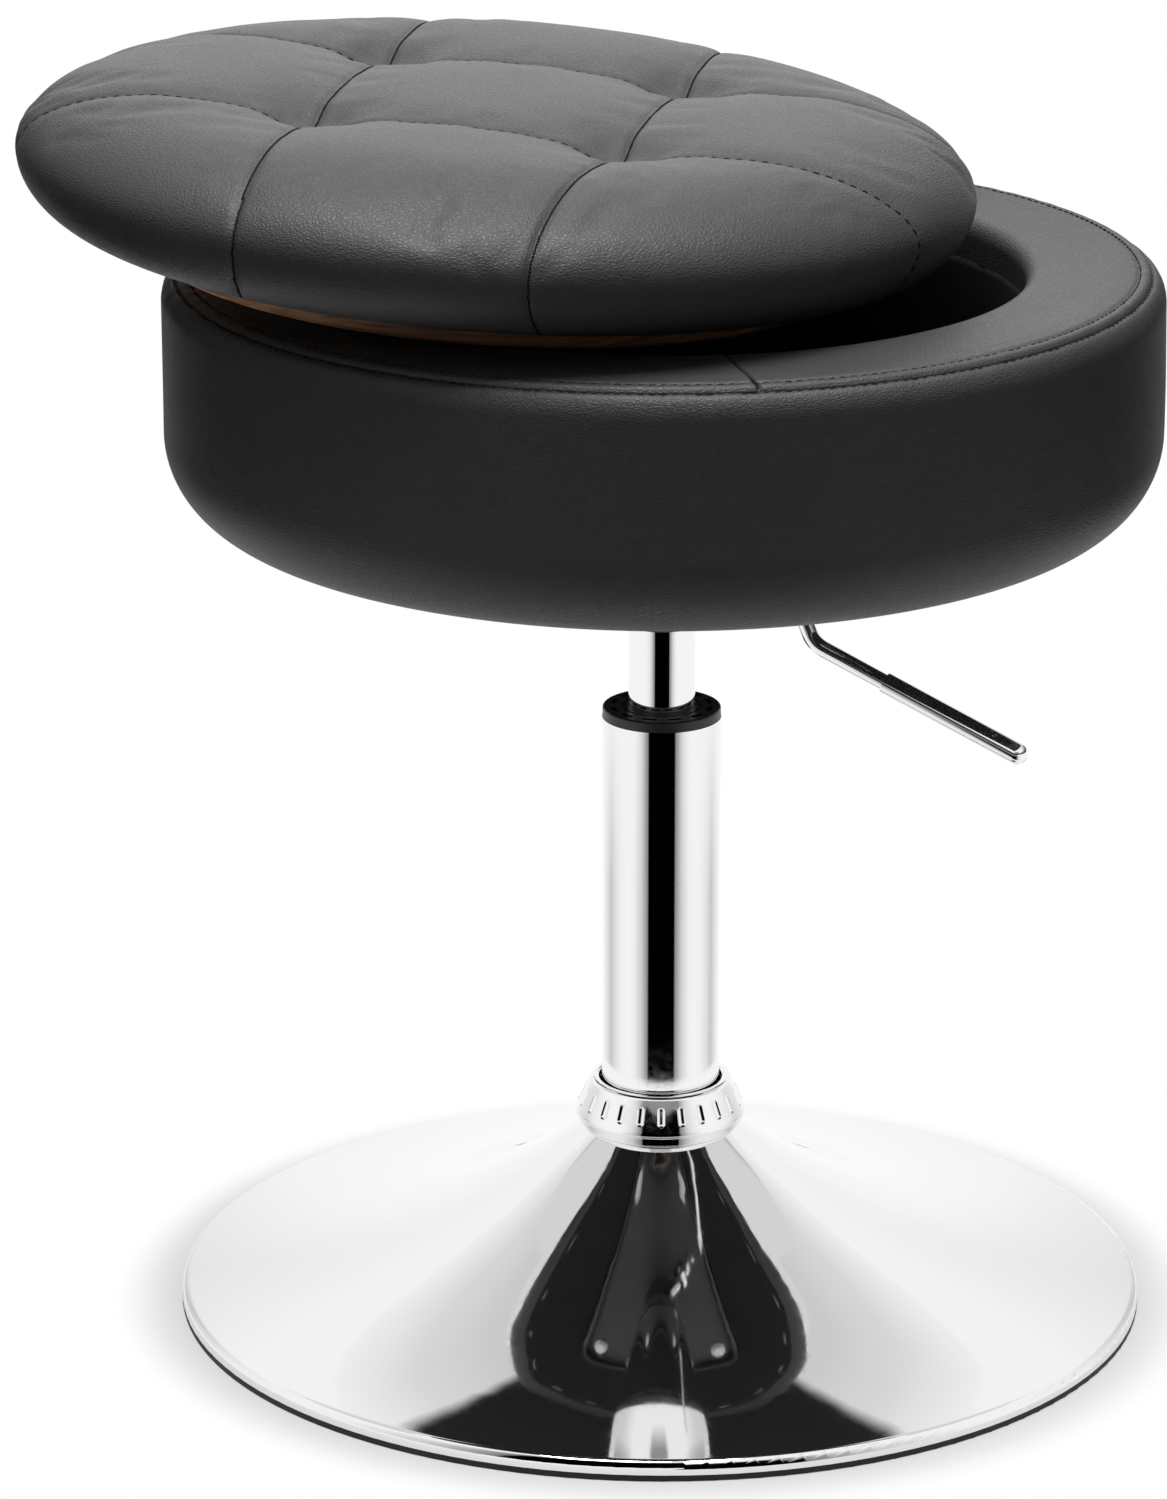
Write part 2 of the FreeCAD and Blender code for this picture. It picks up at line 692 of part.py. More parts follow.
def dust_cover():
    """Cloth disc stapled over the hem, cut out square round the plate."""
    sheet = disc(flat_edge, drum_bottom - DUST_COVER, drum_bottom)
    window = rounded_square(PLATE_SIZE + 6, PLATE_CORNER + 3, drum_bottom - 5, drum_bottom + 5)
    return sheet.cut(window)


# Lid, drawn level with its underside at z = 0 and then laid askew on the rim

def tuft_centres():
    half = TUFT_PITCH / 2
    turn = math.radians(TUFT_TURN)
    corners = ((half, half), (-half, half), (-half, -half), (half, -half))
    return [(x * math.cos(turn) - y * math.sin(turn), x * math.sin(turn) + y * math.cos(turn))
            for x, y in corners]


def lid_form(inset):
    """Cushion with a round edge, a crowned top and four tufted dimples, drawn in by an inset."""
    shoulder = LID_RADIUS - LID_ROUND
    rounding = LID_ROUND - inset
    crown = LID_CROWN - inset
    brow = LID_ROUND + rounding
    middle = (shoulder / 2, brow + 0.75 * (crown - brow))
    form = revolved([
        line((0, inset), (shoulder, inset)),
        arc((shoulder, inset), (shoulder + rounding, LID_ROUND), (shoulder, brow)),
        arc((shoulder, brow), middle, (0, crown)),
        line((0, crown), (0, inset)),
    ])
    bell = Part.BezierCurve()
    bell.setPoles([
        Vector(0, 0, crown - TUFT_DEPTH),
        Vector(0.35 * TUFT_SPREAD, 0, crown - TUFT_DEPTH),
        Vector(0.45 * TUFT_SPREAD, 0, crown),
        Vector(TUFT_SPREAD, 0, crown),
    ])
    dimple = revolved([
        bell.toShape(),
        line((TUFT_SPREAD, crown), (TUFT_SPREAD, crown + 20)),
        line((TUFT_SPREAD, crown + 20), (0, crown + 20)),
        line((0, crown + 20), (0, crown - TUFT_DEPTH)),
    ])
    return form.cut([at(dimple, x, y) for x, y in tuft_centres()])


def lid_cover():
    """Leatherette drawn over the foam and under the board's edge, open where the plug sits."""
    opening = disc(PLUG_RADIUS + FIT, -1, COVER)
    return lid_form(0).cut([lid_form(COVER), opening])


def at_tufts(shape):
    return [at(shape, x, y) for x, y in tuft_centres()]


def lid_foam():
    board = disc(lid_board_radius + FIT, -1, lid_board_top + FIT)
    cords = at_tufts(disc(TUFT_CORD + FIT, 0, LID_CROWN))
    return lid_form(COVER + FIT).cut([board] + cords)


def lid_board():
    cords = at_tufts(disc(TUFT_CORD + FIT, 0, lid_board_top + 1))
    seats = at_tufts(disc(ANCHOR_RADIUS + FIT, 0, COVER + ANCHOR_THICKNESS + FIT))
    screw = at(disc(LID_SCREW_RADIUS + RUN, 0, lid_board_top - 1.5), LID_SCREW_CIRCLE, 0)
    return disc(lid_board_radius, COVER, lid_board_top).cut(cords + seats + around(screw, LID_SCREWS))


def lid_screw():
    """Countersunk screw, its head flush with the plug's underside."""
    sink = LID_SCREW_HEAD - LID_SCREW_RADIUS
    return turned([
        (0, -PLUG_DROP, 0),
        (LID_SCREW_HEAD, -PLUG_DROP, 0),
        (LID_SCREW_RADIUS, sink - PLUG_DROP, 0),
        (LID_SCREW_RADIUS, lid_board_top - 2, 0),
        (0, lid_board_top - 2, 0),
    ])


def lid_plug():
    """Board with a bevelled lower edge that drops into the drum's mouth."""
    board = turned([
        (0, -PLUG_DROP, 0),
        (PLUG_RADIUS - PLUG_BEVEL, -PLUG_DROP, 0),
        (PLUG_RADIUS, PLUG_BEVEL - PLUG_DROP, 0),
        (PLUG_RADIUS, COVER, 0),
        (0, COVER, 0),
    ])
    sink = LID_SCREW_HEAD - LID_SCREW_RADIUS
    hole = Part.makeCone(LID_SCREW_HEAD + RUN, LID_SCREW_RADIUS + RUN, sink, Vector(0, 0, -PLUG_DROP))
    hole = hole.fuse(disc(LID_SCREW_RADIUS + RUN, sink - PLUG_DROP, COVER + 1))
    return board.cut(around(at(hole, LID_SCREW_CIRCLE, 0), LID_SCREWS))


def lid_screws():
    return Part.makeCompound(around(at(lid_screw(), LID_SCREW_CIRCLE, 0), LID_SCREWS))


def tuft_cords():
    low = COVER + ANCHOR_THICKNESS
    return Part.makeCompound(at_tufts(disc(TUFT_CORD, low, tuft_bottom - COVER)))


def tuft_anchors():
    return Part.makeCompound(at_tufts(disc(ANCHOR_RADIUS, COVER, COVER + ANCHOR_THICKNESS)))


def rim_height(radius):
    """Height of the drum's rim at a radius, or None off the rim."""
    if radius < HOLE_RADIUS or radius > DRUM_RADIUS:
        return None
    inner = RIM_EDGE_ROUND - (radius - HOLE_RADIUS)
    outer = SHOULDER_ROUND - (DRUM_RADIUS - radius)
    if inner > 0:
        return rim_top - RIM_EDGE_ROUND + math.sqrt(RIM_EDGE_ROUND ** 2 - inner ** 2)
    if outer > 0:
        return rim_top - SHOULDER_ROUND + math.sqrt(SHOULDER_ROUND ** 2 - outer ** 2)
    return rim_top


def lid_underside():
    """Points (radius, height) of the level lid's underside that can meet the rim."""
    shoulder = LID_RADIUS - LID_ROUND
    points = [(PLUG_RADIUS - PLUG_BEVEL, -PLUG_DROP), (PLUG_RADIUS, PLUG_BEVEL - PLUG_DROP), (shoulder, 0.0)]
    for step in range(1, 19):
        angle = math.radians(5 * step)
        points.append((shoulder + LID_ROUND * math.sin(angle), LID_ROUND * (1 - math.cos(angle))))
    return points


def lid_rest_height():
    """Height of the lid's centre at which the shifted, tilted lid just clears the rim."""
    tilt = math.radians(LID_TILT)
    best = rim_top
    for radius, height in lid_underside():
        for step in range(1440):
            angle = math.radians(step / 4)
            along = radius * math.cos(angle)
            x = -LID_SHIFT + along * math.cos(tilt) + height * math.sin(tilt)
            drop = along * math.sin(tilt) - height * math.cos(tilt)
            rim = rim_height(math.hypot(x, radius * math.sin(angle)))
            if rim is not None:
                best = max(best, rim + drop)
    return best + AIR


lid_pose = FreeCAD.Placement(
    Vector(-LID_SHIFT, 0, lid_rest_height()), FreeCAD.Rotation(Vector(0, 1, 0), LID_TILT))


def on_rim(shape):
    laid = shape.copy()
    laid.Placement = lid_pose.multiply(laid.Placement)
    return laid


rim_cover, side_cover = drum_covers()
neck_under = NECK_TOP - BASE_SHEET
cylinder_fill = cylinder_bore

parts = {
    "base_dish": base_dish(),
    "base_edge_ring": base_edge_ring(),
    "column_tube": ring(column_bore, COLUMN_RADIUS, COLUMN_BOTTOM, COLUMN_TOP),
    "column_shoulder": ring(COLUMN_RADIUS, shoulder_radius, NECK_TOP, NECK_TOP + SHOULDER_HEIGHT),
    "neck_washer": ring(COLUMN_RADIUS + FIT, neck_radius - BASE_SHEET - FIT,
                        neck_under - NECK_WASHER, neck_under),
    "neck_ring_nut": neck_ring_nut(),
    "column_foot": ring(STUD_RADIUS + AIR, column_bore, COLUMN_BOTTOM, foot_top),
    "column_collar": column_collar(),
    "column_bush": column_bush(),
    "bearing_lower_race": ring(STUD_RADIUS + AIR, RACE_RADIUS, foot_top, foot_top + RACE_THICKNESS),
    "bearing_cage": bearing_cage(),
    "bearing_balls": bearing_balls(),
    "piston_rod": piston_rod(),
    "piston": piston(),
    "piston_seal": piston_seal(),
    "bearing_upper_race": ring(STUD_RADIUS, RACE_RADIUS, upper_race, rod_seat),
    "rod_buffer": ring(ROD_RADIUS, RACE_RADIUS, rod_seat, buffer_top),
    "clip_washer": ring(STUD_RADIUS, CLIP_RADIUS + 2, clip_top, clip_top + CLIP_WASHER),
    "rod_clip": rod_clip(),
    "gas_cylinder": gas_cylinder(),
    "rod_guide": ring(ROD_RADIUS + RUN, cylinder_fill, cylinder_bottom, guide_top),
    "rod_seal": ring(ROD_RADIUS + RUN, cylinder_fill, guide_top, seal_top),
    "valve_body": valve_body(),
    "release_pin": release_pin(),
    "mechanism_hub": mechanism_hub(),
    "mechanism_plate": mechanism_plate(),
    "lever_bracket": lever_bracket(),
    "lever_pivot_pin": lever_pivot_pin(),
    "lever_rod": lever_rod(),
    "lever_grip": lever_grip(),
    "plate_bolts": plate_bolts(),
    "plate_washers": plate_washers(),
    "tee_nuts": tee_nuts(),
    "drum_floor_board": drum_floor_board(),
    "drum_wall": ring(wall_inner, wall_outer, floor_top, wall_top),
    "drum_foam": drum_foam(),
    "drum_side_cover": side_cover,
    "drum_rim_cover": rim_cover,
    "storage_lining": storage_lining(),
    "dust_cover": dust_cover(),
    "lid_board": on_rim(lid_board()),
    "lid_plug": on_rim(lid_plug()),
    "lid_foam": on_rim(lid_foam()),
    "lid_cover": on_rim(lid_cover()),
    "lid_screws": on_rim(lid_screws()),
    "tuft_cords": on_rim(tuft_cords()),
    "tuft_anchors": on_rim(tuft_anchors()),
}

for name, shape in parts.items():
    shape.exportStep(f"parts/{name}.step")
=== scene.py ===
import math

import bpy
import numpy as np
from mathutils import Matrix, Vector
from mathutils.bvhtree import BVHTree


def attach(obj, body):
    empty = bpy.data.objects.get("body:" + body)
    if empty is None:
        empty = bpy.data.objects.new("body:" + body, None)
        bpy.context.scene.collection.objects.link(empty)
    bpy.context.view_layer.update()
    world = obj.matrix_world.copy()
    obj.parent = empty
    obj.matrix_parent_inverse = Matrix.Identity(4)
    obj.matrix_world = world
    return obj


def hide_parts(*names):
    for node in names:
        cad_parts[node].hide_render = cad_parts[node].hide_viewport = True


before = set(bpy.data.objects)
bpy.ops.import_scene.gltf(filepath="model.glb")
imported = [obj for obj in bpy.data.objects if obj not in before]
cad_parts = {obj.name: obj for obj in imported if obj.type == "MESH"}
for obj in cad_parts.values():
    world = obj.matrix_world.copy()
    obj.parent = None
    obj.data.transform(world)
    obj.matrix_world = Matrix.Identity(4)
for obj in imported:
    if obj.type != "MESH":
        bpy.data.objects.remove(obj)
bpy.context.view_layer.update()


# Base dish: a disc of steel sheet spun over a former into a trumpet with a rolled lip, then
# polished and chrome plated. Polishing leaves a long faint ripple that bends its reflections.

MM = 0.001
DISH_CHROME = (0.88, 0.885, 0.89, 1.0)
DISH_RIPPLE_SCALE = 16.0
DISH_RIPPLE_DEPTH = 0.35 * MM


def finish(name):
    """A new material with its node tree and its surface shader."""
    material = bpy.data.materials.new(name)
    material.use_nodes = True
    return material, material.node_tree, material.node_tree.nodes["Principled BSDF"]


def add(tree, kind, inputs=None, **settings):
    """A shader node whose inputs are given as plain values or as sockets to link."""
    node = tree.nodes.new("ShaderNode" + kind)
    for key, value in settings.items():
        setattr(node, key, value)
    for key, value in (inputs or {}).items():
        if isinstance(value, bpy.types.NodeSocket):
            tree.links.new(value, node.inputs[key])
        else:
            node.inputs[key].default_value = value
    return node


def spread(tree, socket, low, high, start=0.3, end=0.7):
    """A noise socket stretched to run from low to high."""
    ranged = add(tree, "MapRange", {"Value": socket, "From Min": start, "From Max": end,
                                    "To Min": low, "To Max": high})
    return ranged.outputs["Result"]


def emboss(tree, shader, height, depth, strength=1.0):
    """Relief of a depth in metres on the shader's normal."""
    bump = add(tree, "Bump", {"Height": height, "Distance": depth, "Strength": strength})
    tree.links.new(bump.outputs["Normal"], shader.inputs["Normal"])
    return bump


def dress(material, *names):
    """The named CAD solids wear the material."""
    for name in names:
        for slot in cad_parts[name].material_slots:
            slot.material = material


spun_chrome, tree, shader = finish("spun_chrome")
place = add(tree, "TexCoord").outputs["Object"]
shader.inputs["Base Color"].default_value = DISH_CHROME
shader.inputs["Metallic"].default_value = 1.0
haze = add(tree, "TexNoise", {"Vector": place, "Scale": 240.0, "Detail": 3.0})
tree.links.new(spread(tree, haze.outputs["Fac"], 0.025, 0.06), shader.inputs["Roughness"])
ripple = add(tree, "TexNoise", {"Vector": place, "Scale": DISH_RIPPLE_SCALE, "Detail": 1.0})
emboss(tree, shader, ripple.outputs["Fac"], DISH_RIPPLE_DEPTH)
dress(spun_chrome, "base_dish")


# Edge ring: an extruded rubber strip pushed under the lip, so that steel never meets the floor.
# It is matt black with a dusty bloom.

ring_rubber, tree, shader = finish("ring_rubber")
place = add(tree, "TexCoord").outputs["Object"]
bloom = add(tree, "TexNoise", {"Vector": place, "Scale": 60.0, "Detail": 4.0})
tint = add(tree, "MapRange", {"Value": bloom.outputs["Fac"], "To Min": 0.012, "To Max": 0.03})
tree.links.new(tint.outputs["Result"], shader.inputs["Base Color"])
shader.inputs["Roughness"].default_value = 0.75
pores = add(tree, "TexNoise", {"Vector": place, "Scale": 1800.0, "Detail": 2.0})
emboss(tree, shader, pores.outputs["Fac"], 0.1 * MM, 0.4)
dress(ring_rubber, "base_edge_ring", "rod_buffer", "rod_seal", "piston_seal")


# Column, collar, gas cylinder, lever and grip: drawn tube, a pressed trim ring and bent rod, all
# ground along or around, and plated in the same bright chrome.

bright_chrome, tree, shader = finish("bright_chrome")
place = add(tree, "TexCoord").outputs["Object"]
shader.inputs["Base Color"].default_value = (0.9, 0.9, 0.905, 1.0)
shader.inputs["Metallic"].default_value = 1.0
haze = add(tree, "TexNoise", {"Vector": place, "Scale": 420.0, "Detail": 3.0})
tree.links.new(spread(tree, haze.outputs["Fac"], 0.03, 0.075), shader.inputs["Roughness"])
dress(bright_chrome, "column_tube", "column_collar", "gas_cylinder", "lever_rod", "lever_grip")


# Clamp, bearing, rod and fasteners: turned washers, a slotted ring nut, races, balls, the rod with
# its clip, and the screws and nuts of the seat, zinc plated or ground bright. Most sit out of view,
# seen only from below or when the seat is raised.

zinc_steel, tree, shader = finish("zinc_steel")
place = add(tree, "TexCoord").outputs["Object"]
shader.inputs["Metallic"].default_value = 1.0
spangle = add(tree, "TexVoronoi", {"Vector": place, "Scale": 900.0})
shade = add(tree, "ValToRGB", {"Fac": spangle.outputs["Distance"]})
shade.color_ramp.elements[0].color = (0.42, 0.42, 0.43, 1.0)
shade.color_ramp.elements[1].color = (0.6, 0.6, 0.6, 1.0)
tree.links.new(shade.outputs["Color"], shader.inputs["Base Color"])
tooling = add(tree, "TexNoise", {"Vector": place, "Scale": 700.0, "Detail": 4.0})
tree.links.new(spread(tree, tooling.outputs["Fac"], 0.26, 0.42), shader.inputs["Roughness"])
emboss(tree, shader, tooling.outputs["Fac"], 0.05 * MM, 0.3)
dress(zinc_steel, "column_shoulder", "neck_washer", "neck_ring_nut", "column_foot", "bearing_lower_race",
      "bearing_upper_race", "bearing_balls", "piston_rod", "piston", "clip_washer", "rod_clip",
      "rod_guide", "valve_body", "release_pin", "lever_pivot_pin", "plate_bolts", "plate_washers",
      "tee_nuts", "lid_screws", "tuft_anchors")


# Guide bush and ball cage: moulded black nylon with a fine spark-eroded grain on its faces. The
# bush is pressed into the column's mouth, and its slotted cap shows.

moulded_black, tree, shader = finish("moulded_black")
place = add(tree, "TexCoord").outputs["Object"]
cloud = add(tree, "TexNoise", {"Vector": place, "Scale": 90.0, "Detail": 2.0})
tint = add(tree, "MapRange", {"Value": cloud.outputs["Fac"], "To Min": 0.008, "To Max": 0.018})
tree.links.new(tint.outputs["Result"], shader.inputs["Base Color"])
grit = add(tree, "TexNoise", {"Vector": place, "Scale": 2600.0, "Detail": 2.0})
tree.links.new(spread(tree, grit.outputs["Fac"], 0.34, 0.5), shader.inputs["Roughness"])
emboss(tree, shader, grit.outputs["Fac"], 0.06 * MM, 0.5)
dress(moulded_black, "column_bush", "bearing_cage")


# Mechanism under the drum: a turned socket, a pressed pan and a small channel for the lever,
# welded together and powder coated black with a slight orange peel.

powder_coat, tree, shader = finish("powder_coat")
place = add(tree, "TexCoord").outputs["Object"]
cloud = add(tree, "TexNoise", {"Vector": place, "Scale": 40.0, "Detail": 3.0})
tint = add(tree, "MapRange", {"Value": cloud.outputs["Fac"], "To Min": 0.012, "To Max": 0.022})
tree.links.new(tint.outputs["Result"], shader.inputs["Base Color"])
peel = add(tree, "TexNoise", {"Vector": place, "Scale": 650.0, "Detail": 1.0})
tree.links.new(spread(tree, peel.outputs["Fac"], 0.3, 0.45), shader.inputs["Roughness"])
emboss(tree, shader, peel.outputs["Fac"], 0.12 * MM, 0.6)
dress(powder_coat, "mechanism_hub", "mechanism_plate", "lever_bracket")


# Drum boards and lid board: rotary-cut plywood, pale and plain, sawn to rounds and bent for the
# wall. Leatherette and cloth hide nearly all of it.

plywood, tree, shader = finish("plywood")
place = add(tree, "TexCoord").outputs["Object"]
stretched = add(tree, "Mapping", {"Vector": place, "Scale": (5.0, 70.0, 70.0)})
grain = add(tree, "TexNoise", {"Vector": stretched.outputs["Vector"], "Scale": 6.0, "Detail": 6.0})
wood = add(tree, "ValToRGB", {"Fac": grain.outputs["Fac"]})
wood.color_ramp.elements[0].color = (0.4, 0.27, 0.15, 1.0)
wood.color_ramp.elements[1].color = (0.62, 0.48, 0.31, 1.0)
tree.links.new(wood.outputs["Color"], shader.inputs["Base Color"])
shader.inputs["Roughness"].default_value = 0.62
emboss(tree, shader, grain.outputs["Fac"], 0.15 * MM, 0.4)
dress(plywood, "drum_floor_board", "drum_wall", "lid_board")


# Drum upholstery: a ring of foam under black leatherette, cut as a flat rim and a straight side
# strip. The two are sewn together at the shoulder, and a second row of stitches holds the
# turned-in edges down, so that a narrow band stands up between the rows.

DRUM_RADIUS = 206.0
DRUM_TOP = 453.6
DRUM_BOTTOM = 347.6
MOUTH_RADIUS = 148.5
MOUTH_ROUND = 7.0
SHOULDER_ROUND = 13.0
BOTTOM_ROUND = 38.0
RIM_TUCK = 18.0
HEM_RADIUS = 144.0
SEAM_HEIGHT = 451.0
SEAM_RADIUS = 200.9
TOPSTITCH_RADIUS = 195.2
RIM_CROWN_RADIUS = 172.0
RIM_FALL_FROM = 186.0
RIM_FALL_OVER = 8.0
JOIN_ANGLE = -80.9
JOIN_LEAN = 0.0006
JOIN_PIVOT = 175.0
SIDE_JOIN = math.radians(90.0)
SIDE_MIDDLE = 400.0
PLEATS_FROM = 118.0
PLEATS_OVER = 22.0
LEATHER_THICKNESS = 1.3
GRAIN_WARP = 0.0045

leather, tree, shader = finish("black_leatherette")
place = add(tree, "TexCoord").outputs["Object"]
warp = add(tree, "TexNoise", {"Vector": place, "Scale": 130.0, "Detail": 2.0})
bent = add(tree, "VectorMath", {0: warp.outputs["Color"], 1: (GRAIN_WARP,) * 3}, operation="MULTIPLY")
bent = add(tree, "VectorMath", {0: bent.outputs["Vector"], 1: place}, operation="ADD")
pulled = add(tree, "Mapping", {"Vector": bent.outputs["Vector"], "Scale": (1.0, 1.0, 1.55),
                               "Rotation": (0.5, 0.3, 0.6)})
pebbles = add(tree, "TexVoronoi", {"Vector": pulled.outputs["Vector"], "Scale": 520.0},
              feature="DISTANCE_TO_EDGE")
pebble = add(tree, "MapRange", {"Value": pebbles.outputs["Distance"], "From Min": 0.0, "From Max": 0.28},
             interpolation_type="SMOOTHSTEP")
pores = add(tree, "TexNoise", {"Vector": place, "Scale": 1900.0, "Detail": 3.0})
relief = add(tree, "Math", {0: pores.outputs["Fac"], 1: 0.45}, operation="MULTIPLY")
relief = add(tree, "Math", {0: relief.outputs["Value"], 1: pebble.outputs["Result"]}, operation="ADD")
patches = add(tree, "TexNoise", {"Vector": place, "Scale": 22.0, "Detail": 2.0})
dye = add(tree, "ValToRGB", {"Fac": patches.outputs["Fac"]})
dye.color_ramp.elements[0].color = (0.031, 0.0314, 0.0308, 1.0)
dye.color_ramp.elements[1].color = (0.039, 0.0394, 0.0386, 1.0)
tree.links.new(dye.outputs["Color"], shader.inputs["Base Color"])
sheen = add(tree, "MapRange", {"Value": pebble.outputs["Result"], "To Min": 0.56, "To Max": 0.46})
tree.links.new(sheen.outputs["Result"], shader.inputs["Roughness"])
shader.inputs["Specular IOR Level"].default_value = 0.37
emboss(tree, shader, relief.outputs["Value"], 0.14 * MM, 0.7)


def arc_points(centre, radius, start, end, count):
    """Points (radius, height) on an arc from one angle to another, in degrees."""
    angles = np.radians(np.linspace(start, end, count))
    return np.column_stack([centre[0] + radius * np.cos(angles), centre[1] + radius * np.sin(angles)])


def line_points(start, end, count):
    """Points (radius, height) on a straight line."""
    return np.linspace(start, end, count)


def run_lengths(points):
    """How far each point of a path lies from its first point, along the path."""
    return np.concatenate([[0.0], np.cumsum(np.linalg.norm(np.diff(points, axis=0), axis=1))])


def evenly(outline, step):
    """The outline's points respaced to a step along its length."""
    lengths = run_lengths(outline)
    keep = np.concatenate([[True], np.diff(lengths) > 1e-6])
    lengths, outline = lengths[keep], outline[keep]
    wanted = np.linspace(0.0, lengths[-1], max(2, int(round(lengths[-1] / step)) + 1))
    return np.column_stack([np.interp(wanted, lengths, outline[:, k]) for k in range(2)])


def mesh_piece(name, points, faces, material):
    """A smooth mesh object from points in millimetres."""
    mesh = bpy.data.meshes.new(name)
    mesh.from_pydata((np.asarray(points) * MM).tolist(), [], faces)
    mesh.polygons.foreach_set("use_smooth", [True] * len(mesh.polygons))
    mesh.materials.append(material)
    piece = bpy.data.objects.new(name, mesh)
    bpy.context.scene.collection.objects.link(piece)
    return piece


def grid_faces(rows, columns, closed):
    """Faces between the rows and columns of a grid of points, open or closed round."""
    faces = []
    span = columns if closed else columns - 1
    for row in range(rows - 1):
        for column in range(span):
            after = (column + 1) % columns
            faces.append((row * columns + column, (row + 1) * columns + column,
                          (row + 1) * columns + after, row * columns + after))
    return faces


def ring_piece(name, points, material):
    """A mesh piece from the points (rows, columns, 3) of a sweep right round the axis."""
    rows, columns = points.shape[:2]
    return mesh_piece(name, points.reshape(-1, 3), grid_faces(rows, columns, True), material)


def wander(angles, seed, first, last):
    """A smooth endless wave round the drum, of height about one, from a range of orders."""
    draw = np.random.default_rng(seed)
    total = np.zeros_like(angles)
    for order in range(first, last + 1):
        total = total + draw.normal() * np.cos(order * angles + draw.uniform(0, 2 * math.pi))
    return total / math.sqrt(last - first + 1)


def groove(distance, width, depth):
    """A smooth hollow of a width and depth, by the distance from its middle."""
    return depth * np.exp(-(distance / width) ** 2)


def thicken(piece, thickness):
    """A wall of the thickness in millimetres, grown inwards from the piece's face."""
    wall = piece.modifiers.new("thickness", "SOLIDIFY")
    wall.thickness = thickness * MM
    wall.offset = -1.0


def round_angles(count, fine, spacing):
    """Angles round the drum, with extra ones close to a join."""
    plain = np.arange(count) * 2 * math.pi / count - math.pi
    near = fine + np.arange(-8, 9) * spacing
    plain = plain[np.abs(plain - fine) > 8.5 * spacing]
    return np.sort(np.concatenate([plain, near]))


def swept(outline, angles):
    """Points (rows, columns, 3) of an outline turned through the angles."""
    radius, height = outline[:, :1], outline[:, 1:]
    return np.stack([radius * np.cos(angles), radius * np.sin(angles),
                     np.repeat(height, len(angles), axis=1)], axis=-1)


def outward(points):
    """Unit normals of a closed sweep whose outline runs with the outside on its left hand."""
    along = np.gradient(points, axis=0)
    around = np.roll(points, -1, axis=1) - np.roll(points, 1, axis=1)
    normal = np.cross(along, around)
    return normal / np.linalg.norm(normal, axis=-1, keepdims=True)


def join_heading(radius):
    """The rim's join as a turn in radians: it leans a little off the straight line outwards."""
    return math.radians(JOIN_ANGLE) + JOIN_LEAN * (radius - JOIN_PIVOT)


shoulder_centre = (DRUM_RADIUS - SHOULDER_ROUND, DRUM_TOP - SHOULDER_ROUND)
seam_angle = math.degrees(math.asin((SEAM_HEIGHT - shoulder_centre[1]) / SHOULDER_ROUND))
rim_outline = evenly(np.concatenate([
    line_points((MOUTH_RADIUS, DRUM_TOP - RIM_TUCK), (MOUTH_RADIUS, DRUM_TOP - MOUTH_ROUND), 8),
    arc_points((MOUTH_RADIUS + MOUTH_ROUND, DRUM_TOP - MOUTH_ROUND), MOUTH_ROUND, 180, 90, 12),
    line_points((MOUTH_RADIUS + MOUTH_ROUND, DRUM_TOP), (shoulder_centre[0], DRUM_TOP), 30),
    arc_points(shoulder_centre, SHOULDER_ROUND, 90, seam_angle, 12)]), 0.9)
rim_angles = round_angles(900, math.radians(JOIN_ANGLE), 0.0022)
rim = swept(rim_outline, rim_angles)
rim_normal = outward(rim)
rim_radius = np.repeat(rim_outline[:, :1], len(rim_angles), axis=1)
rim_drop = groove(rim_radius - TOPSTITCH_RADIUS, 1.5, 0.75)
fall = np.clip((rim_radius - RIM_FALL_FROM) / RIM_FALL_OVER, 0, 1)
rim_drop += 0.5 * fall * (rim_radius < TOPSTITCH_RADIUS)
rim_drop += groove(rim_radius - SEAM_RADIUS, 1.3, 1.1)
rim_drop += wander(rim_angles, 11, 60, 110) * groove(rim_radius - TOPSTITCH_RADIUS, 3.5, 0.13)
rim_drop += wander(rim_angles, 12, 3, 14) * groove(rim_radius - RIM_CROWN_RADIUS, 12.0, 0.25)
join_distance = (rim_angles[None, :] - join_heading(rim_radius)) * rim_radius
past_mouth = rim_radius > MOUTH_RADIUS + 1
rim_drop += groove(join_distance, 0.7, 1.3) * past_mouth
rim_drop -= groove(join_distance + 3.0, 2.2, 0.35) * past_mouth
drum_rim = ring_piece("drum_rim", rim - rim_normal * rim_drop[..., None], leather)
thicken(drum_rim, LEATHER_THICKNESS)

side_outline = evenly(np.concatenate([
    arc_points(shoulder_centre, SHOULDER_ROUND, seam_angle, 0, 12),
    line_points((DRUM_RADIUS, shoulder_centre[1]), (DRUM_RADIUS, DRUM_BOTTOM + BOTTOM_ROUND), 30),
    arc_points((DRUM_RADIUS - BOTTOM_ROUND, DRUM_BOTTOM + BOTTOM_ROUND), BOTTOM_ROUND, 0, -90, 40),
    line_points((DRUM_RADIUS - BOTTOM_ROUND, DRUM_BOTTOM), (HEM_RADIUS, DRUM_BOTTOM), 14)]), 1.6)
side_angles = round_angles(760, SIDE_JOIN, 0.0026)
side = swept(side_outline, side_angles)
side_normal = outward(side)
side_height = np.repeat(side_outline[:, 1:], len(side_angles), axis=1)
side_radius = np.repeat(side_outline[:, :1], len(side_angles), axis=1)
along = run_lengths(side_outline)[:, None]
side_drop = groove(along, 1.4, 1.0)
side_drop = side_drop + wander(side_angles, 21, 2, 9) * groove(side_height - SIDE_MIDDLE, 30.0, 0.3)
side_drop += wander(side_angles, 22, 50, 90) * groove(along, 9.0, 0.1)
pleats = np.clip((along - PLEATS_FROM) / PLEATS_OVER, 0, 1)
side_drop += 0.6 * pleats * wander(side_angles + 0.002 * along, 23, 26, 64)
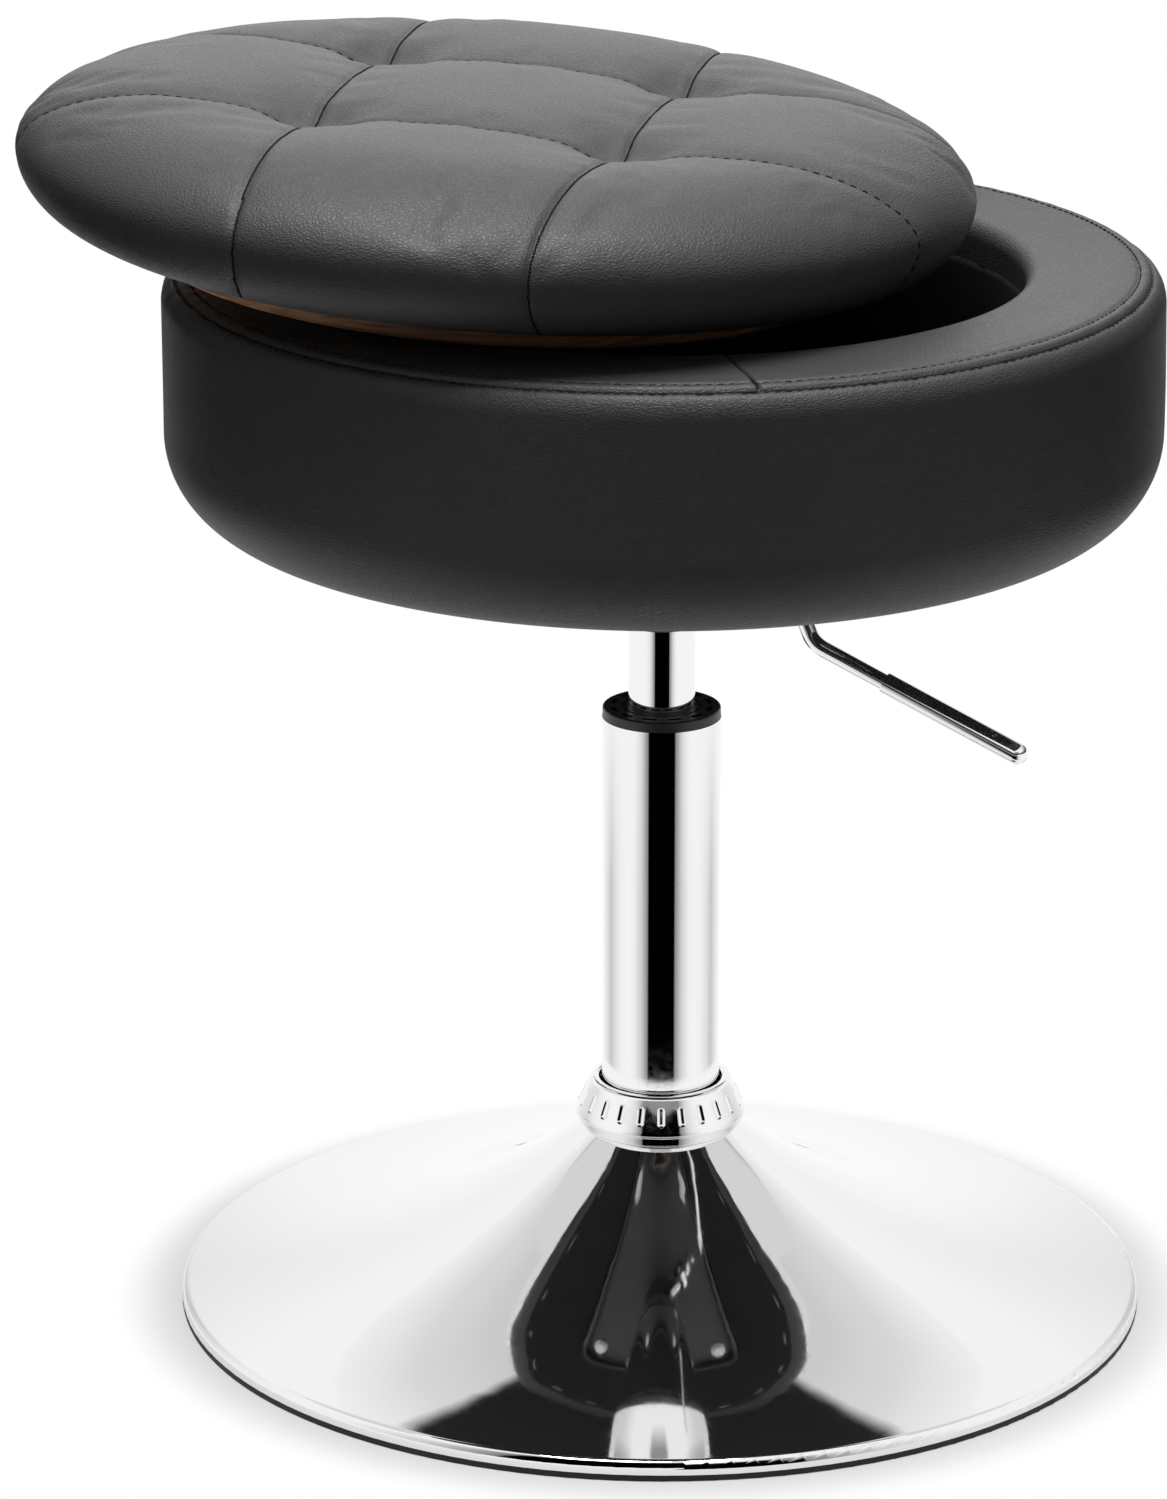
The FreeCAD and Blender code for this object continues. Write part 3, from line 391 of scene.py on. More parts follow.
side_drop += groove((side_angles[None, :] - SIDE_JOIN) * side_radius, 0.9, 0.9)
side_drop = np.clip(side_drop, -0.9, 2.0)
drum_side = ring_piece("drum_side", side - side_normal * side_drop[..., None], leather)
thicken(drum_side, LEATHER_THICKNESS)

for piece, node in ((drum_rim, "drum_rim_cover"), (drum_side, "drum_side_cover")):
    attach(piece, "seat")
    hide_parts(node)
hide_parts("drum_foam")


# Drum stitching: black bonded thread in lockstitch, one row through the rim beside the seam, one in
# the seam itself and one along the rim's join. Each stitch is a short bar pulled into the
# leatherette at its ends.

STITCH_PITCH = 4.4
STITCH_LENGTH = 3.5
THREAD_RADIUS = 0.36
JOIN_STITCH = 1.9
JOIN_THREAD = 0.4
SEAM_STITCH_RADIUS = 200.6

thread, tree, shader = finish("black_thread")
place = add(tree, "TexCoord").outputs["Object"]
twist = add(tree, "TexNoise", {"Vector": place, "Scale": 1500.0, "Detail": 2.0})
tint = add(tree, "MapRange", {"Value": twist.outputs["Fac"], "To Min": 0.002, "To Max": 0.006})
tree.links.new(tint.outputs["Result"], shader.inputs["Base Color"])
shader.inputs["Roughness"].default_value = 0.8
shader.inputs["Specular IOR Level"].default_value = 0.2
emboss(tree, shader, twist.outputs["Fac"], 0.1 * MM, 0.5)


def stitch_row(name, centres, tangents, normals, material, length=STITCH_LENGTH, radius=THREAD_RADIUS):
    """One mesh of short round bars, each lying along its tangent and bowed towards its normal."""
    stations = np.array([-0.5, -0.36, -0.15, 0.15, 0.36, 0.5])
    swell = np.array([0.25, 0.8, 1.0, 1.0, 0.8, 0.25])
    bow = np.array([-1.1, -0.35, 0.0, 0.0, -0.35, -1.1])
    sides = 6
    turns = np.arange(sides) * 2 * math.pi / sides
    points, faces = [], []
    for centre, tangent, normal in zip(centres, tangents, normals):
        across = np.cross(normal, tangent)
        first = len(points)
        for station, width, rise in zip(stations, swell, bow):
            middle = centre + tangent * (station * length) + normal * (rise * radius)
            for turn in turns:
                spoke = across * math.cos(turn) + normal * math.sin(turn)
                points.append(middle + spoke * (width * radius))
        last = first + (len(stations) - 1) * sides
        for ring in range(first, last, sides):
            for side in range(sides):
                after = (side + 1) % sides
                faces.append((ring + side, ring + after, ring + sides + after, ring + sides + side))
        faces.append(tuple(first + side for side in reversed(range(sides))))
        faces.append(tuple(last + side for side in range(sides)))
    return mesh_piece(name, points, faces, material)


def circle_row(name, radius, height, normal_up):
    """A row of stitches round the drum at one radius and height, leaning up by some degrees."""
    count = int(2 * math.pi * radius / STITCH_PITCH)
    turns = np.arange(count) * 2 * math.pi / count
    out = np.column_stack([np.cos(turns), np.sin(turns), np.zeros(count)])
    centres = out * radius + np.array([0, 0, height])
    tangents = np.column_stack([-np.sin(turns), np.cos(turns), np.zeros(count)])
    lean = math.radians(normal_up)
    normals = out * math.cos(lean) + np.array([0, 0, math.sin(lean)])
    row = stitch_row(name, centres, tangents, normals, thread)
    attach(row, "seat")


join_radius = np.arange(MOUTH_RADIUS + 4.0, 199.0, 1.5)
join_turn = join_heading(join_radius)
join_out = np.column_stack([np.cos(join_turn), np.sin(join_turn), np.zeros(len(join_turn))])
join_height = np.interp(join_radius, rim_outline[10:, 0], rim_outline[10:, 1])
join_centres = join_out * join_radius[:, None]
join_centres[:, 2] = join_height - 0.75
join_up = np.tile([0.0, 0.0, 1.0], (len(join_turn), 1))
join_seam = stitch_row("rim_join", join_centres, join_out, join_up, thread, JOIN_STITCH, JOIN_THREAD)
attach(join_seam, "seat")
circle_row("rim_topstitch", TOPSTITCH_RADIUS, DRUM_TOP - 1.05, 80.0)
circle_row("rim_seam_stitch", SEAM_STITCH_RADIUS, SEAM_HEIGHT - 1.0, 55.0)


# Storage lining: thin black woven cloth glued to the wall as one strip and to the floor as a disc,
# up to the rim's tuck.

FLOOR_TOP = 361.0
LINING = 1.3
LINING_CLOTH = 0.6
LINING_ROWS = 24
FLOOR_RINGS = 40

lining_cloth, tree, shader = finish("lining_cloth")
place = add(tree, "TexCoord").outputs["Object"]
warp_yarn, weft_yarn = (add(tree, "TexWave", {"Vector": place, "Scale": 380.0, "Distortion": 0.6},
                            bands_direction=way).outputs["Fac"] for way in "XZ")
weave = add(tree, "Math", {0: warp_yarn, 1: weft_yarn}, operation="MULTIPLY")
dye = add(tree, "MapRange", {"Value": weave.outputs["Value"], "To Min": 0.006, "To Max": 0.016})
tree.links.new(dye.outputs["Result"], shader.inputs["Base Color"])
shader.inputs["Roughness"].default_value = 0.85
shader.inputs["Specular IOR Level"].default_value = 0.25
emboss(tree, shader, weave.outputs["Value"], 0.15 * MM, 0.6)

lining_top = DRUM_TOP - RIM_TUCK + 1.0
wall_outline = line_points((MOUTH_RADIUS, FLOOR_TOP + LINING), (MOUTH_RADIUS, lining_top), LINING_ROWS)
wall_angles = np.arange(360) * math.pi / 180 - math.pi
lining_sweep = swept(wall_outline, wall_angles)
slack = 0.35 * wander(wall_angles, 31, 4, 18) * np.sin(np.linspace(0, math.pi, LINING_ROWS))[:, None]
lining_sweep[..., :2] *= (1 - np.abs(slack) / MOUTH_RADIUS)[..., None]
lining_wall = ring_piece("lining_wall", lining_sweep, lining_cloth)

floor_rings = np.linspace(0.02, MOUTH_RADIUS + 0.6, FLOOR_RINGS)
floor_outline = np.column_stack([floor_rings, np.full(FLOOR_RINGS, FLOOR_TOP + LINING)])
lining_floor = ring_piece("lining_floor", swept(floor_outline, wall_angles), lining_cloth)

for piece in (lining_wall, lining_floor):
    thicken(piece, LINING_CLOTH)
    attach(piece, "seat")
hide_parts("storage_lining")


# Dust cover: spun-bonded black cloth stapled over the hem of the side cover, with a square window
# round the mechanism's pan. It is drawn tight and dips a little between the staples.

DUST_RADIUS = 168.0
WINDOW = 156.0
WINDOW_CORNER = 15.0
DUST_CLOTH = 0.5
DUST_GAP = 0.8
DUST_ROWS = 26
DUST_COLUMNS = 480
STAPLES = 30
STAPLE_INSET = 8.0
STAPLE_LENGTH = 10.0
STAPLE_WIRE = 0.5

dust_cloth, tree, shader = finish("dust_cloth")
place = add(tree, "TexCoord").outputs["Object"]
dots = add(tree, "TexVoronoi", {"Vector": place, "Scale": 700.0})
felt = add(tree, "TexNoise", {"Vector": place, "Scale": 260.0, "Detail": 4.0})
dye = add(tree, "MapRange", {"Value": felt.outputs["Fac"], "To Min": 0.008, "To Max": 0.02})
tree.links.new(dye.outputs["Result"], shader.inputs["Base Color"])
shader.inputs["Roughness"].default_value = 0.9
shader.inputs["Specular IOR Level"].default_value = 0.15
emboss(tree, shader, dots.outputs["Distance"], 0.15 * MM, 0.6)


def window_edge(angles):
    """Distance from the axis to the edge of the rounded square window."""
    half = WINDOW / 2
    inner = half - WINDOW_CORNER
    sideways, forwards = np.abs(np.cos(angles)), np.abs(np.sin(angles))
    straight = half / np.maximum(sideways, forwards)
    middle = (sideways + forwards) * inner
    corner = middle + np.sqrt(np.maximum(middle ** 2 - 2 * inner ** 2 + WINDOW_CORNER ** 2, 0))
    on_corner = (straight * sideways > inner) & (straight * forwards > inner)
    return np.where(on_corner, corner, straight)


dust_angles = np.arange(DUST_COLUMNS) * 2 * math.pi / DUST_COLUMNS - math.pi
inner_edge = window_edge(dust_angles)
shares = np.linspace(0, 1, DUST_ROWS)[:, None]
dust_radius = inner_edge + (DUST_RADIUS - inner_edge) * shares
sag = 0.35 * np.sin(math.pi * shares) * (1 + 0.6 * wander(dust_angles, 41, 5, 20))
dust = np.stack([dust_radius * np.cos(dust_angles), dust_radius * np.sin(dust_angles),
                 np.broadcast_to(DRUM_BOTTOM - DUST_GAP - np.abs(sag), dust_radius.shape)], axis=-1)
dust_sheet = ring_piece("dust_sheet", dust, dust_cloth)
dust_sheet.data.flip_normals()
thicken(dust_sheet, DUST_CLOTH)
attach(dust_sheet, "seat")
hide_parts("dust_cover")

staple_turns = np.arange(STAPLES) * 2 * math.pi / STAPLES
staple_out = np.column_stack([np.cos(staple_turns), np.sin(staple_turns), np.zeros(STAPLES)])
staple_across = np.column_stack([-np.sin(staple_turns), np.cos(staple_turns), np.zeros(STAPLES)])
staple_centres = staple_out * (DUST_RADIUS - STAPLE_INSET) + np.array([0, 0, DRUM_BOTTOM - 1.5])
staple_down = np.tile([0.0, 0.0, -1.0], (STAPLES, 1))
staples = stitch_row("dust_staples", staple_centres, staple_across, staple_down, zinc_steel,
                     STAPLE_LENGTH, STAPLE_WIRE)
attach(staples, "seat")


# Lid plug: a thinner board screwed under the lid, stained dark brown with the grain showing at
# its edge. It drops into the drum's mouth and keeps the lid in place.

stained_board, tree, shader = finish("stained_board")
place = add(tree, "TexCoord").outputs["Object"]
stretched = add(tree, "Mapping", {"Vector": place, "Scale": (3.0, 26.0, 160.0),
                                  "Rotation": (0.0, 0.07, 0.3)})
grain = add(tree, "TexNoise", {"Vector": stretched.outputs["Vector"], "Scale": 5.0, "Detail": 7.0,
                               "Distortion": 0.6})
stain = add(tree, "ValToRGB", {"Fac": grain.outputs["Fac"]})
stain.color_ramp.elements[0].position = 0.3
stain.color_ramp.elements[0].color = (0.24, 0.1, 0.043, 1.0)
stain.color_ramp.elements[1].position = 0.72
stain.color_ramp.elements[1].color = (0.62, 0.32, 0.16, 1.0)
tree.links.new(stain.outputs["Color"], shader.inputs["Base Color"])
tree.links.new(spread(tree, grain.outputs["Fac"], 0.45, 0.6), shader.inputs["Roughness"])
emboss(tree, shader, grain.outputs["Fac"], 0.15 * MM, 0.5)
dress(stained_board, "lid_plug")


# Tufting cords: waxed cotton, dyed black so that no loop shows, from each dimple down through the
# foam to a steel anchor under the board.

cotton, tree, shader = finish("waxed_cotton")
place = add(tree, "TexCoord").outputs["Object"]
ply = add(tree, "TexWave", {"Vector": place, "Scale": 300.0, "Distortion": 1.0},
          bands_direction="DIAGONAL")
dye = add(tree, "ValToRGB", {"Fac": ply.outputs["Fac"]})
dye.color_ramp.elements[0].color = (0.016, 0.016, 0.017, 1.0)
dye.color_ramp.elements[1].color = (0.034, 0.033, 0.032, 1.0)
tree.links.new(dye.outputs["Color"], shader.inputs["Base Color"])
shader.inputs["Roughness"].default_value = 0.8
dress(cotton, "tuft_cords")


# Lid cushion: nine panels of leatherette sewn along two seams each way, drawn over a thick foam
# pad and pulled down by cords where the seams cross. Cords and seams hold still while pressure
# fills the panels between them, as foam does.

LID_PLACE = Vector((-70.0, 0.0, 465.214))
LID_TILT = math.radians(3.8)
LID_RADIUS = 196.4
LID_LEVEL = 29.0
LID_CROWN = 1.5
CROWN_EDGE = 130.0
FOOT_EDGE = 157.4
PLUG_EDGE = 143.0
TUFT_HALF = 63.5
TUFT_TURN = math.radians(-11.9)
TUFT_DEPTH = 9.3
TUFT_SPREAD = 27.0
PIT_SPREAD = 16.5
PIT_SHARE = 0.66
SEAM_VALLEY = 0.9
SEAM_SPREAD = 9.0
SEAM_DRIFT = 0.075
SEAM_END = 34.0
SEAM_HOLD = 4.0
TUFT_HOLD = 11.0
EDGE_HOLD_FROM = 16.0
EDGE_HOLD_OVER = 22.0
VALLEY_CLEAR = 7.0
CREASE_CLEAR = 4.0
PANEL_GRID = 100
PANEL_PRESSURE = 5.0
PANEL_SLACK = 0.004
PANEL_FRAMES = 20
PANEL_REACH = 5.0
FOLDS = 6
FOLD_RING = 13.0
FOLD_DEPTH = 0.16
CLOSE_STITCH = {"step": 1.5, "lift": 0.05, "length": 1.9, "radius": 0.5}
LONG_STITCH = {"step": 5.2, "lift": 0.15, "length": 3.4, "radius": 0.42}

lid_outline = evenly(np.concatenate([
    line_points((0.0, 2 * LID_LEVEL), (CROWN_EDGE, 2 * LID_LEVEL), 60),
    np.array([CROWN_EDGE, LID_LEVEL]) + np.array([LID_RADIUS - CROWN_EDGE, LID_LEVEL])
    * arc_points((0, 0), 1.0, 90, 0, 60),
    np.array([FOOT_EDGE, LID_LEVEL]) + np.array([LID_RADIUS - FOOT_EDGE, LID_LEVEL])
    * arc_points((0, 0), 1.0, 0, -90, 40),
    line_points((FOOT_EDGE, 0.0), (PLUG_EDGE, 0.0), 10)]), 1.0)
lid_outline[:, 1] += np.where(lid_outline[:, 1] > LID_LEVEL,
                              LID_CROWN * (1 - (lid_outline[:, 0] / LID_RADIUS) ** 2), 0)
lid_run = run_lengths(lid_outline)


def seam_offsets(x, y):
    """A place in the lid's plan, turned to lie along the seams, and how far off each way's seams are."""
    u = x * math.cos(TUFT_TURN) + y * math.sin(TUFT_TURN)
    v = -x * math.sin(TUFT_TURN) + y * math.cos(TUFT_TURN)
    drift = SEAM_DRIFT * np.maximum(0.0, -v - TUFT_HALF)
    front_back = np.minimum(np.abs(u + TUFT_HALF), np.abs(u - TUFT_HALF + drift))
    left_right = np.minimum(np.abs(v + TUFT_HALF), np.abs(v - TUFT_HALF))
    return u, v, front_back, left_right


def tuft_distance(u, v):
    """Distance to the nearest of the four tufts."""
    return np.hypot(np.abs(u) - TUFT_HALF, np.abs(v) - TUFT_HALF)


cells = np.linspace(-1, 1, PANEL_GRID + 1)
across, along = np.meshgrid(cells, cells, indexing="ij")
run_across = across * np.sqrt(1 - along * along / 2) * lid_run[-1]
run_along = along * np.sqrt(1 - across * across / 2) * lid_run[-1]
run = np.hypot(run_across, run_along)
bearing = np.arctan2(run_along, run_across)
radius = np.interp(run, lid_run, lid_outline[:, 0])
height = np.interp(run, lid_run, lid_outline[:, 1])
x, y = radius * np.cos(bearing), radius * np.sin(bearing)
u, v, front_back, left_right = seam_offsets(x, y)
tuft = tuft_distance(u, v)
upper = np.clip((height - LID_LEVEL) / (0.6 * LID_LEVEL), 0, 1)
pull = (1 - PIT_SHARE) * np.exp(-0.5 * (tuft / TUFT_SPREAD) ** 2)
pit = PIT_SHARE * np.exp(-(tuft / PIT_SPREAD) ** 3)
dip = TUFT_DEPTH * (pull + pit)
nearest_seam = np.minimum(front_back, left_right)
dip += groove(nearest_seam, SEAM_SPREAD, SEAM_VALLEY) * (1 - groove(tuft, VALLEY_CLEAR, 1.0))
lid_points = np.stack([x, y, height - dip * upper], axis=-1).reshape(-1, 3)
panel_faces = grid_faces(PANEL_GRID + 1, PANEL_GRID + 1, False)
lid_cushion = mesh_piece("lid_cushion", lid_points, panel_faces, leather)


def fill_panels(piece, hold, pressure, frames, reach):
    """Air pressure swells the piece where it isn't held, by no more than the reach in metres."""
    held = piece.vertex_groups.new(name="held")
    for index, weight in enumerate(hold):
        if weight > 0.01:
            held.add([index], float(weight), "REPLACE")
    cloth = piece.modifiers.new("pressure", "CLOTH")
    cloth.settings.vertex_group_mass = "held"
    cloth.settings.quality = 6
    cloth.settings.mass = 0.2
    cloth.settings.shrink_min = -PANEL_SLACK
    cloth.settings.tension_stiffness = 15.0
    cloth.settings.compression_stiffness = 15.0
    cloth.settings.shear_stiffness = 5.0
    cloth.settings.bending_stiffness = 0.5
    cloth.settings.use_pressure = True
    cloth.settings.uniform_pressure_force = pressure
    cloth.settings.effector_weights.gravity = 0.0
    cloth.point_cache.frame_start = 1
    cloth.point_cache.frame_end = frames
    count = len(piece.data.vertices)
    before = np.zeros(count * 3, np.float32)
    piece.data.vertices.foreach_get("co", before)
    for step in range(1, frames + 1):
        bpy.context.scene.frame_set(step)
    shaped = piece.evaluated_get(bpy.context.evaluated_depsgraph_get())
    after = np.zeros(count * 3, np.float32)
    shaped.data.vertices.foreach_get("co", after)
    piece.modifiers.remove(cloth)
    bpy.context.scene.frame_set(1)
    move = (after - before).reshape(-1, 3)
    size = np.linalg.norm(move, axis=1, keepdims=True)
    move *= reach * np.tanh(size / reach) / np.maximum(size, 1e-9)
    piece.data.vertices.foreach_set("co", (before.reshape(-1, 3) + move).ravel())
    piece.data.update()


seam_hold = groove(nearest_seam, SEAM_HOLD, 1.0) * upper
tuft_hold = np.exp(-(tuft / TUFT_HOLD) ** 4)
edge_hold = 1 - np.clip((height - EDGE_HOLD_FROM) / EDGE_HOLD_OVER, 0, 1)
hold = np.clip(np.maximum(np.maximum(seam_hold, tuft_hold), edge_hold), 0, 1).ravel()
fill_panels(lid_cushion, hold, PANEL_PRESSURE, PANEL_FRAMES, PANEL_REACH * MM)

divided = lid_cushion.modifiers.new("divide", "SUBSURF")
divided.levels = divided.render_levels = 2
fine = bpy.data.meshes.new_from_object(lid_cushion.evaluated_get(bpy.context.evaluated_depsgraph_get()))
lid_cushion.modifiers.remove(divided)
lid_cushion.data = fine
count = len(fine.vertices)
flat = np.zeros(count * 3, np.float32)
fine.vertices.foreach_get("co", flat)
spots = flat.reshape(-1, 3) / MM
fine.vertex_normals.foreach_get("vector", flat)
facing = flat.reshape(-1, 3).copy()
u, v, front_back, left_right = seam_offsets(spots[:, 0], spots[:, 1])
tuft = tuft_distance(u, v)
reached = np.clip((spots[:, 2] - 2.0) / 6.0, 0, 1)
crease = np.maximum(groove(front_back, 1.7, 1.25), groove(left_right, 1.9, 0.85)) * reached
crease *= 1 - groove(tuft, CREASE_CLEAR, 1.0)
fold = np.cos(FOLDS * np.arctan2(np.abs(v) - TUFT_HALF, np.abs(u) - TUFT_HALF) + 0.8)
crease += fold * groove(tuft - FOLD_RING, 7.0, FOLD_DEPTH)
spots = spots - facing * crease[:, None]
fine.vertices.foreach_set("co", (spots * MM).astype(np.float32).ravel())
fine.update()
lid_shape = BVHTree.FromObject(lid_cushion, bpy.context.evaluated_depsgraph_get())
thicken(lid_cushion, LEATHER_THICKNESS)


def seam_line(fixed, offset, step):
    """Points, tangents and normals of one seam, over the top and round both edges of the cushion."""
    usable = lid_run[lid_outline[:, 0] > abs(offset)]
    runs = np.arange(usable[0] + 0.05, lid_run[-1] - SEAM_END, step / 3)
    reach = np.interp(runs, lid_run, lid_outline[:, 0])
    level = np.interp(runs, lid_run, lid_outline[:, 1])
    along = np.sqrt(np.maximum(reach ** 2 - offset ** 2, 0))
    along = np.concatenate([-along[::-1], along])
    level = np.concatenate([level[::-1], level])
    points, normals = [], []
    for distance, z in zip(along, level):
        if fixed == "u":
            drift = SEAM_DRIFT * max(0.0, -distance - TUFT_HALF) if offset > 0 else 0.0
            u, v = offset - drift, distance
        else:
            u, v = distance, offset
        guess = Vector((u * math.cos(TUFT_TURN) - v * math.sin(TUFT_TURN),
                        u * math.sin(TUFT_TURN) + v * math.cos(TUFT_TURN), z)) * MM
        found, normal, _, _ = lid_shape.ray_cast(guess + Vector((0, 0, 0.03)), Vector((0, 0, -1)))
        if z < 1.6 * LID_LEVEL or found is None:
            found, normal, _, _ = lid_shape.find_nearest(guess)
        points.append(np.array(found) / MM)
        normals.append(np.array(normal))
    points, normals = np.array(points), np.array(normals)
    lengths = run_lengths(points)
    wanted = np.arange(0.0, lengths[-1], step)
    points = np.column_stack([np.interp(wanted, lengths, points[:, k]) for k in range(3)])
    normals = np.column_stack([np.interp(wanted, lengths, normals[:, k]) for k in range(3)])
    normals /= np.linalg.norm(normals, axis=1, keepdims=True)
    tangents = np.gradient(points, axis=0)
    tangents /= np.linalg.norm(tangents, axis=1, keepdims=True)
    return points, tangents, normals


lid_pieces = [lid_cushion]
for label, fixed, offset, stitch in (("left", "u", -TUFT_HALF, CLOSE_STITCH),
                                     ("right", "u", TUFT_HALF, CLOSE_STITCH),
                                     ("near", "v", -TUFT_HALF, LONG_STITCH),
                                     ("far", "v", TUFT_HALF, LONG_STITCH)):
    points, tangents, normals = seam_line(fixed, offset, stitch["step"])
    lifted = points + normals * stitch["lift"]
    lid_pieces.append(stitch_row("lid_seam_" + label, lifted, tangents, normals, thread,
                                 stitch["length"], stitch["radius"]))
lid_matrix = Matrix.Translation(LID_PLACE * MM) @ Matrix.Rotation(LID_TILT, 4, "Y")
for piece in lid_pieces:
    piece.matrix_world = lid_matrix
    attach(piece, "lid")
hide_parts("lid_cover", "lid_foam")


# Studio: a white sweep under an overhead softbox, seen by a long lens from a little above. Grey
# and black cards glow round the stool, clear of it and seen only in reflections: they are painted
# reflections that draw the bars and bands in its chrome and the sheen of its leatherette.

SENSOR = 36.0
FOCAL_PIXELS = 6769.48
PHOTO_HEIGHT = 1499.0
CAMERA_PLACE = (-0.032757, -2.70427, 1.11192)
CAMERA_PITCH = 0.310742
ROOM_LIGHT = 0.12
FLOOR_REACH = 20.0
SHADE_FROM = 0.203
SHADE_TO = 0.236
CARD_RADIUS = 0.3
CARD_SPLIT = 0.24
FAR_RADIUS = 2.0
GROUND_FROM = 0.31
GROUND_GREY = 0.03
# Turns and greys of the painted reflection on the column's card: its dark bar and shaded edges.
COLUMN_TURNS = (0, 24.3, 25.5, 30, 38, 53, 66, 82, 98, 110, 125, 145, 180)
COLUMN_GREYS = (0, 0, 0.25, 0.4, 0.68, 0.96, 1.0, 0.95, 0.8, 0.62, 0.82, 1.0, 1.05)
# Turns and heights of the front card's dark band, painted into the leatherette's sheen.
FRONT_TURNS = (0, 15, 24, 50, 75, 140, 158)
FRONT_LEVELS = (1.5, 1.5, 0.85, 0.8, 1.15, 1.4, 1.5)

scene = bpy.context.scene
scene.view_settings.view_transform = "Standard"
camera = bpy.data.cameras.new("camera")
camera.lens = SENSOR * FOCAL_PIXELS / PHOTO_HEIGHT
camera.sensor_width = SENSOR
camera.clip_start = 0.05
camera.clip_end = 100.0
viewer = bpy.data.objects.new("camera", camera)
viewer.location = CAMERA_PLACE
viewer.rotation_euler = (math.pi / 2 - CAMERA_PITCH, 0.0, 0.0)
scene.collection.objects.link(viewer)
scene.camera = viewer


def seen_directly(tree):
    """One for rays from the camera, mirrors and glass, and zero for those that light the object."""
    rays = add(tree, "LightPath")
    seen = add(tree, "Math", {0: rays.outputs["Is Camera Ray"], 1: rays.outputs["Is Glossy Ray"]},
               operation="MAXIMUM")
    seen = add(tree, "Math", {0: seen.outputs["Value"], 1: rays.outputs["Is Transmission Ray"]},
               operation="MAXIMUM")
    return seen.outputs["Value"]


world = bpy.data.worlds.new("white_room")
world.use_nodes = True
scene.world = world
tree = world.node_tree
tree.nodes.clear()
soft = add(tree, "Background", {"Color": (1.0, 1.0, 1.0, 1.0), "Strength": ROOM_LIGHT})
white = add(tree, "Background", {"Color": (1.0, 1.0, 1.0, 1.0), "Strength": 1.0})
either = add(tree, "MixShader", {0: seen_directly(tree), 1: soft.outputs[0], 2: white.outputs[0]})
add(tree, "OutputWorld", {"Surface": either.outputs[0]})

floor_mesh = bpy.data.meshes.new("floor")
floor_corners = [(FLOOR_REACH * x, FLOOR_REACH * y, 0.0) for x, y in ((-1, -1), (1, -1), (1, 1), (-1, 1))]
floor_mesh.from_pydata(floor_corners, [], [(0, 1, 2, 3)])
floor = bpy.data.objects.new("floor", floor_mesh)
scene.collection.objects.link(floor)
sweep, tree, shader = finish("white_sweep")
tree.nodes.clear()
place = add(tree, "TexCoord").outputs["Object"]
away = add(tree, "VectorMath", {0: place}, operation="LENGTH")
fade = add(tree, "MapRange", {"Value": away.outputs["Value"], "From Min": SHADE_FROM,
                              "From Max": SHADE_TO, "To Min": 0.6, "To Max": 1.0},
           interpolation_type="SMOOTHSTEP")
fade = add(tree, "Math", {0: fade.outputs["Result"], 1: seen_directly(tree)}, operation="MULTIPLY")
paper = add(tree, "BsdfDiffuse", {"Color": (0.55, 0.55, 0.55, 1.0)})
glow = add(tree, "Emission", {"Color": (1.0, 1.0, 1.0, 1.0), "Strength": 1.0})
surface = add(tree, "MixShader", {0: fade.outputs["Value"], 1: paper.outputs[0], 2: glow.outputs[0]})
add(tree, "OutputMaterial", {"Surface": surface.outputs[0]})
floor_mesh.materials.append(sweep)


# The cards glow with their own grey rather than being lit, so what they show is painted reflection.
painted_reflection_glow, tree, shader = finish("painted_reflection_glow")
tree.nodes.clear()
grey = add(tree, "Attribute", attribute_name="tone")
paint = add(tree, "Emission", {"Color": grey.outputs["Color"], "Strength": 1.0})
add(tree, "OutputMaterial", {"Surface": paint.outputs[0]})


def card(name, outline, turns, tone):
    """A glowing card bent round the stool, seen only in reflections, with a grey for each turn and
    height: a painted reflection.
    """
    points, greys = [], []
    for radius, height in outline:
        for turn in turns:
            heading = math.radians(turn)
            points.append((radius * math.sin(heading), -radius * math.cos(heading), height))
            greys.append(tone(turn, height))
    mesh = bpy.data.meshes.new(name)
    mesh.from_pydata(points, [], grid_faces(len(outline), len(turns), False))
    mesh.attributes.new("tone", "FLOAT", "POINT").data.foreach_set("value", greys)
    mesh.materials.append(painted_reflection_glow)
    unseen = bpy.data.objects.new(name, mesh)
    scene.collection.objects.link(unseen)
    for ray in ("camera", "diffuse", "shadow", "transmission", "volume_scatter"):
        setattr(unseen, "visible_" + ray, False)


def upright(radius, low, high, count):
    """The outline of a card that stands straight up."""
    return [(radius, height) for height in np.linspace(low, high, count)]


def painted_fan_stripe(turn, height):
    """How far a dark stripe behind the stool covers a card, from zero to one: a painted dark fan in the
    dish's reflection.
    """
    side = abs(180.0 - abs(turn))
    return np.interp(side, (26.0, 28.5), (0.98, 0.0)) * np.interp(height, (0.235, 0.265), (0, 1))


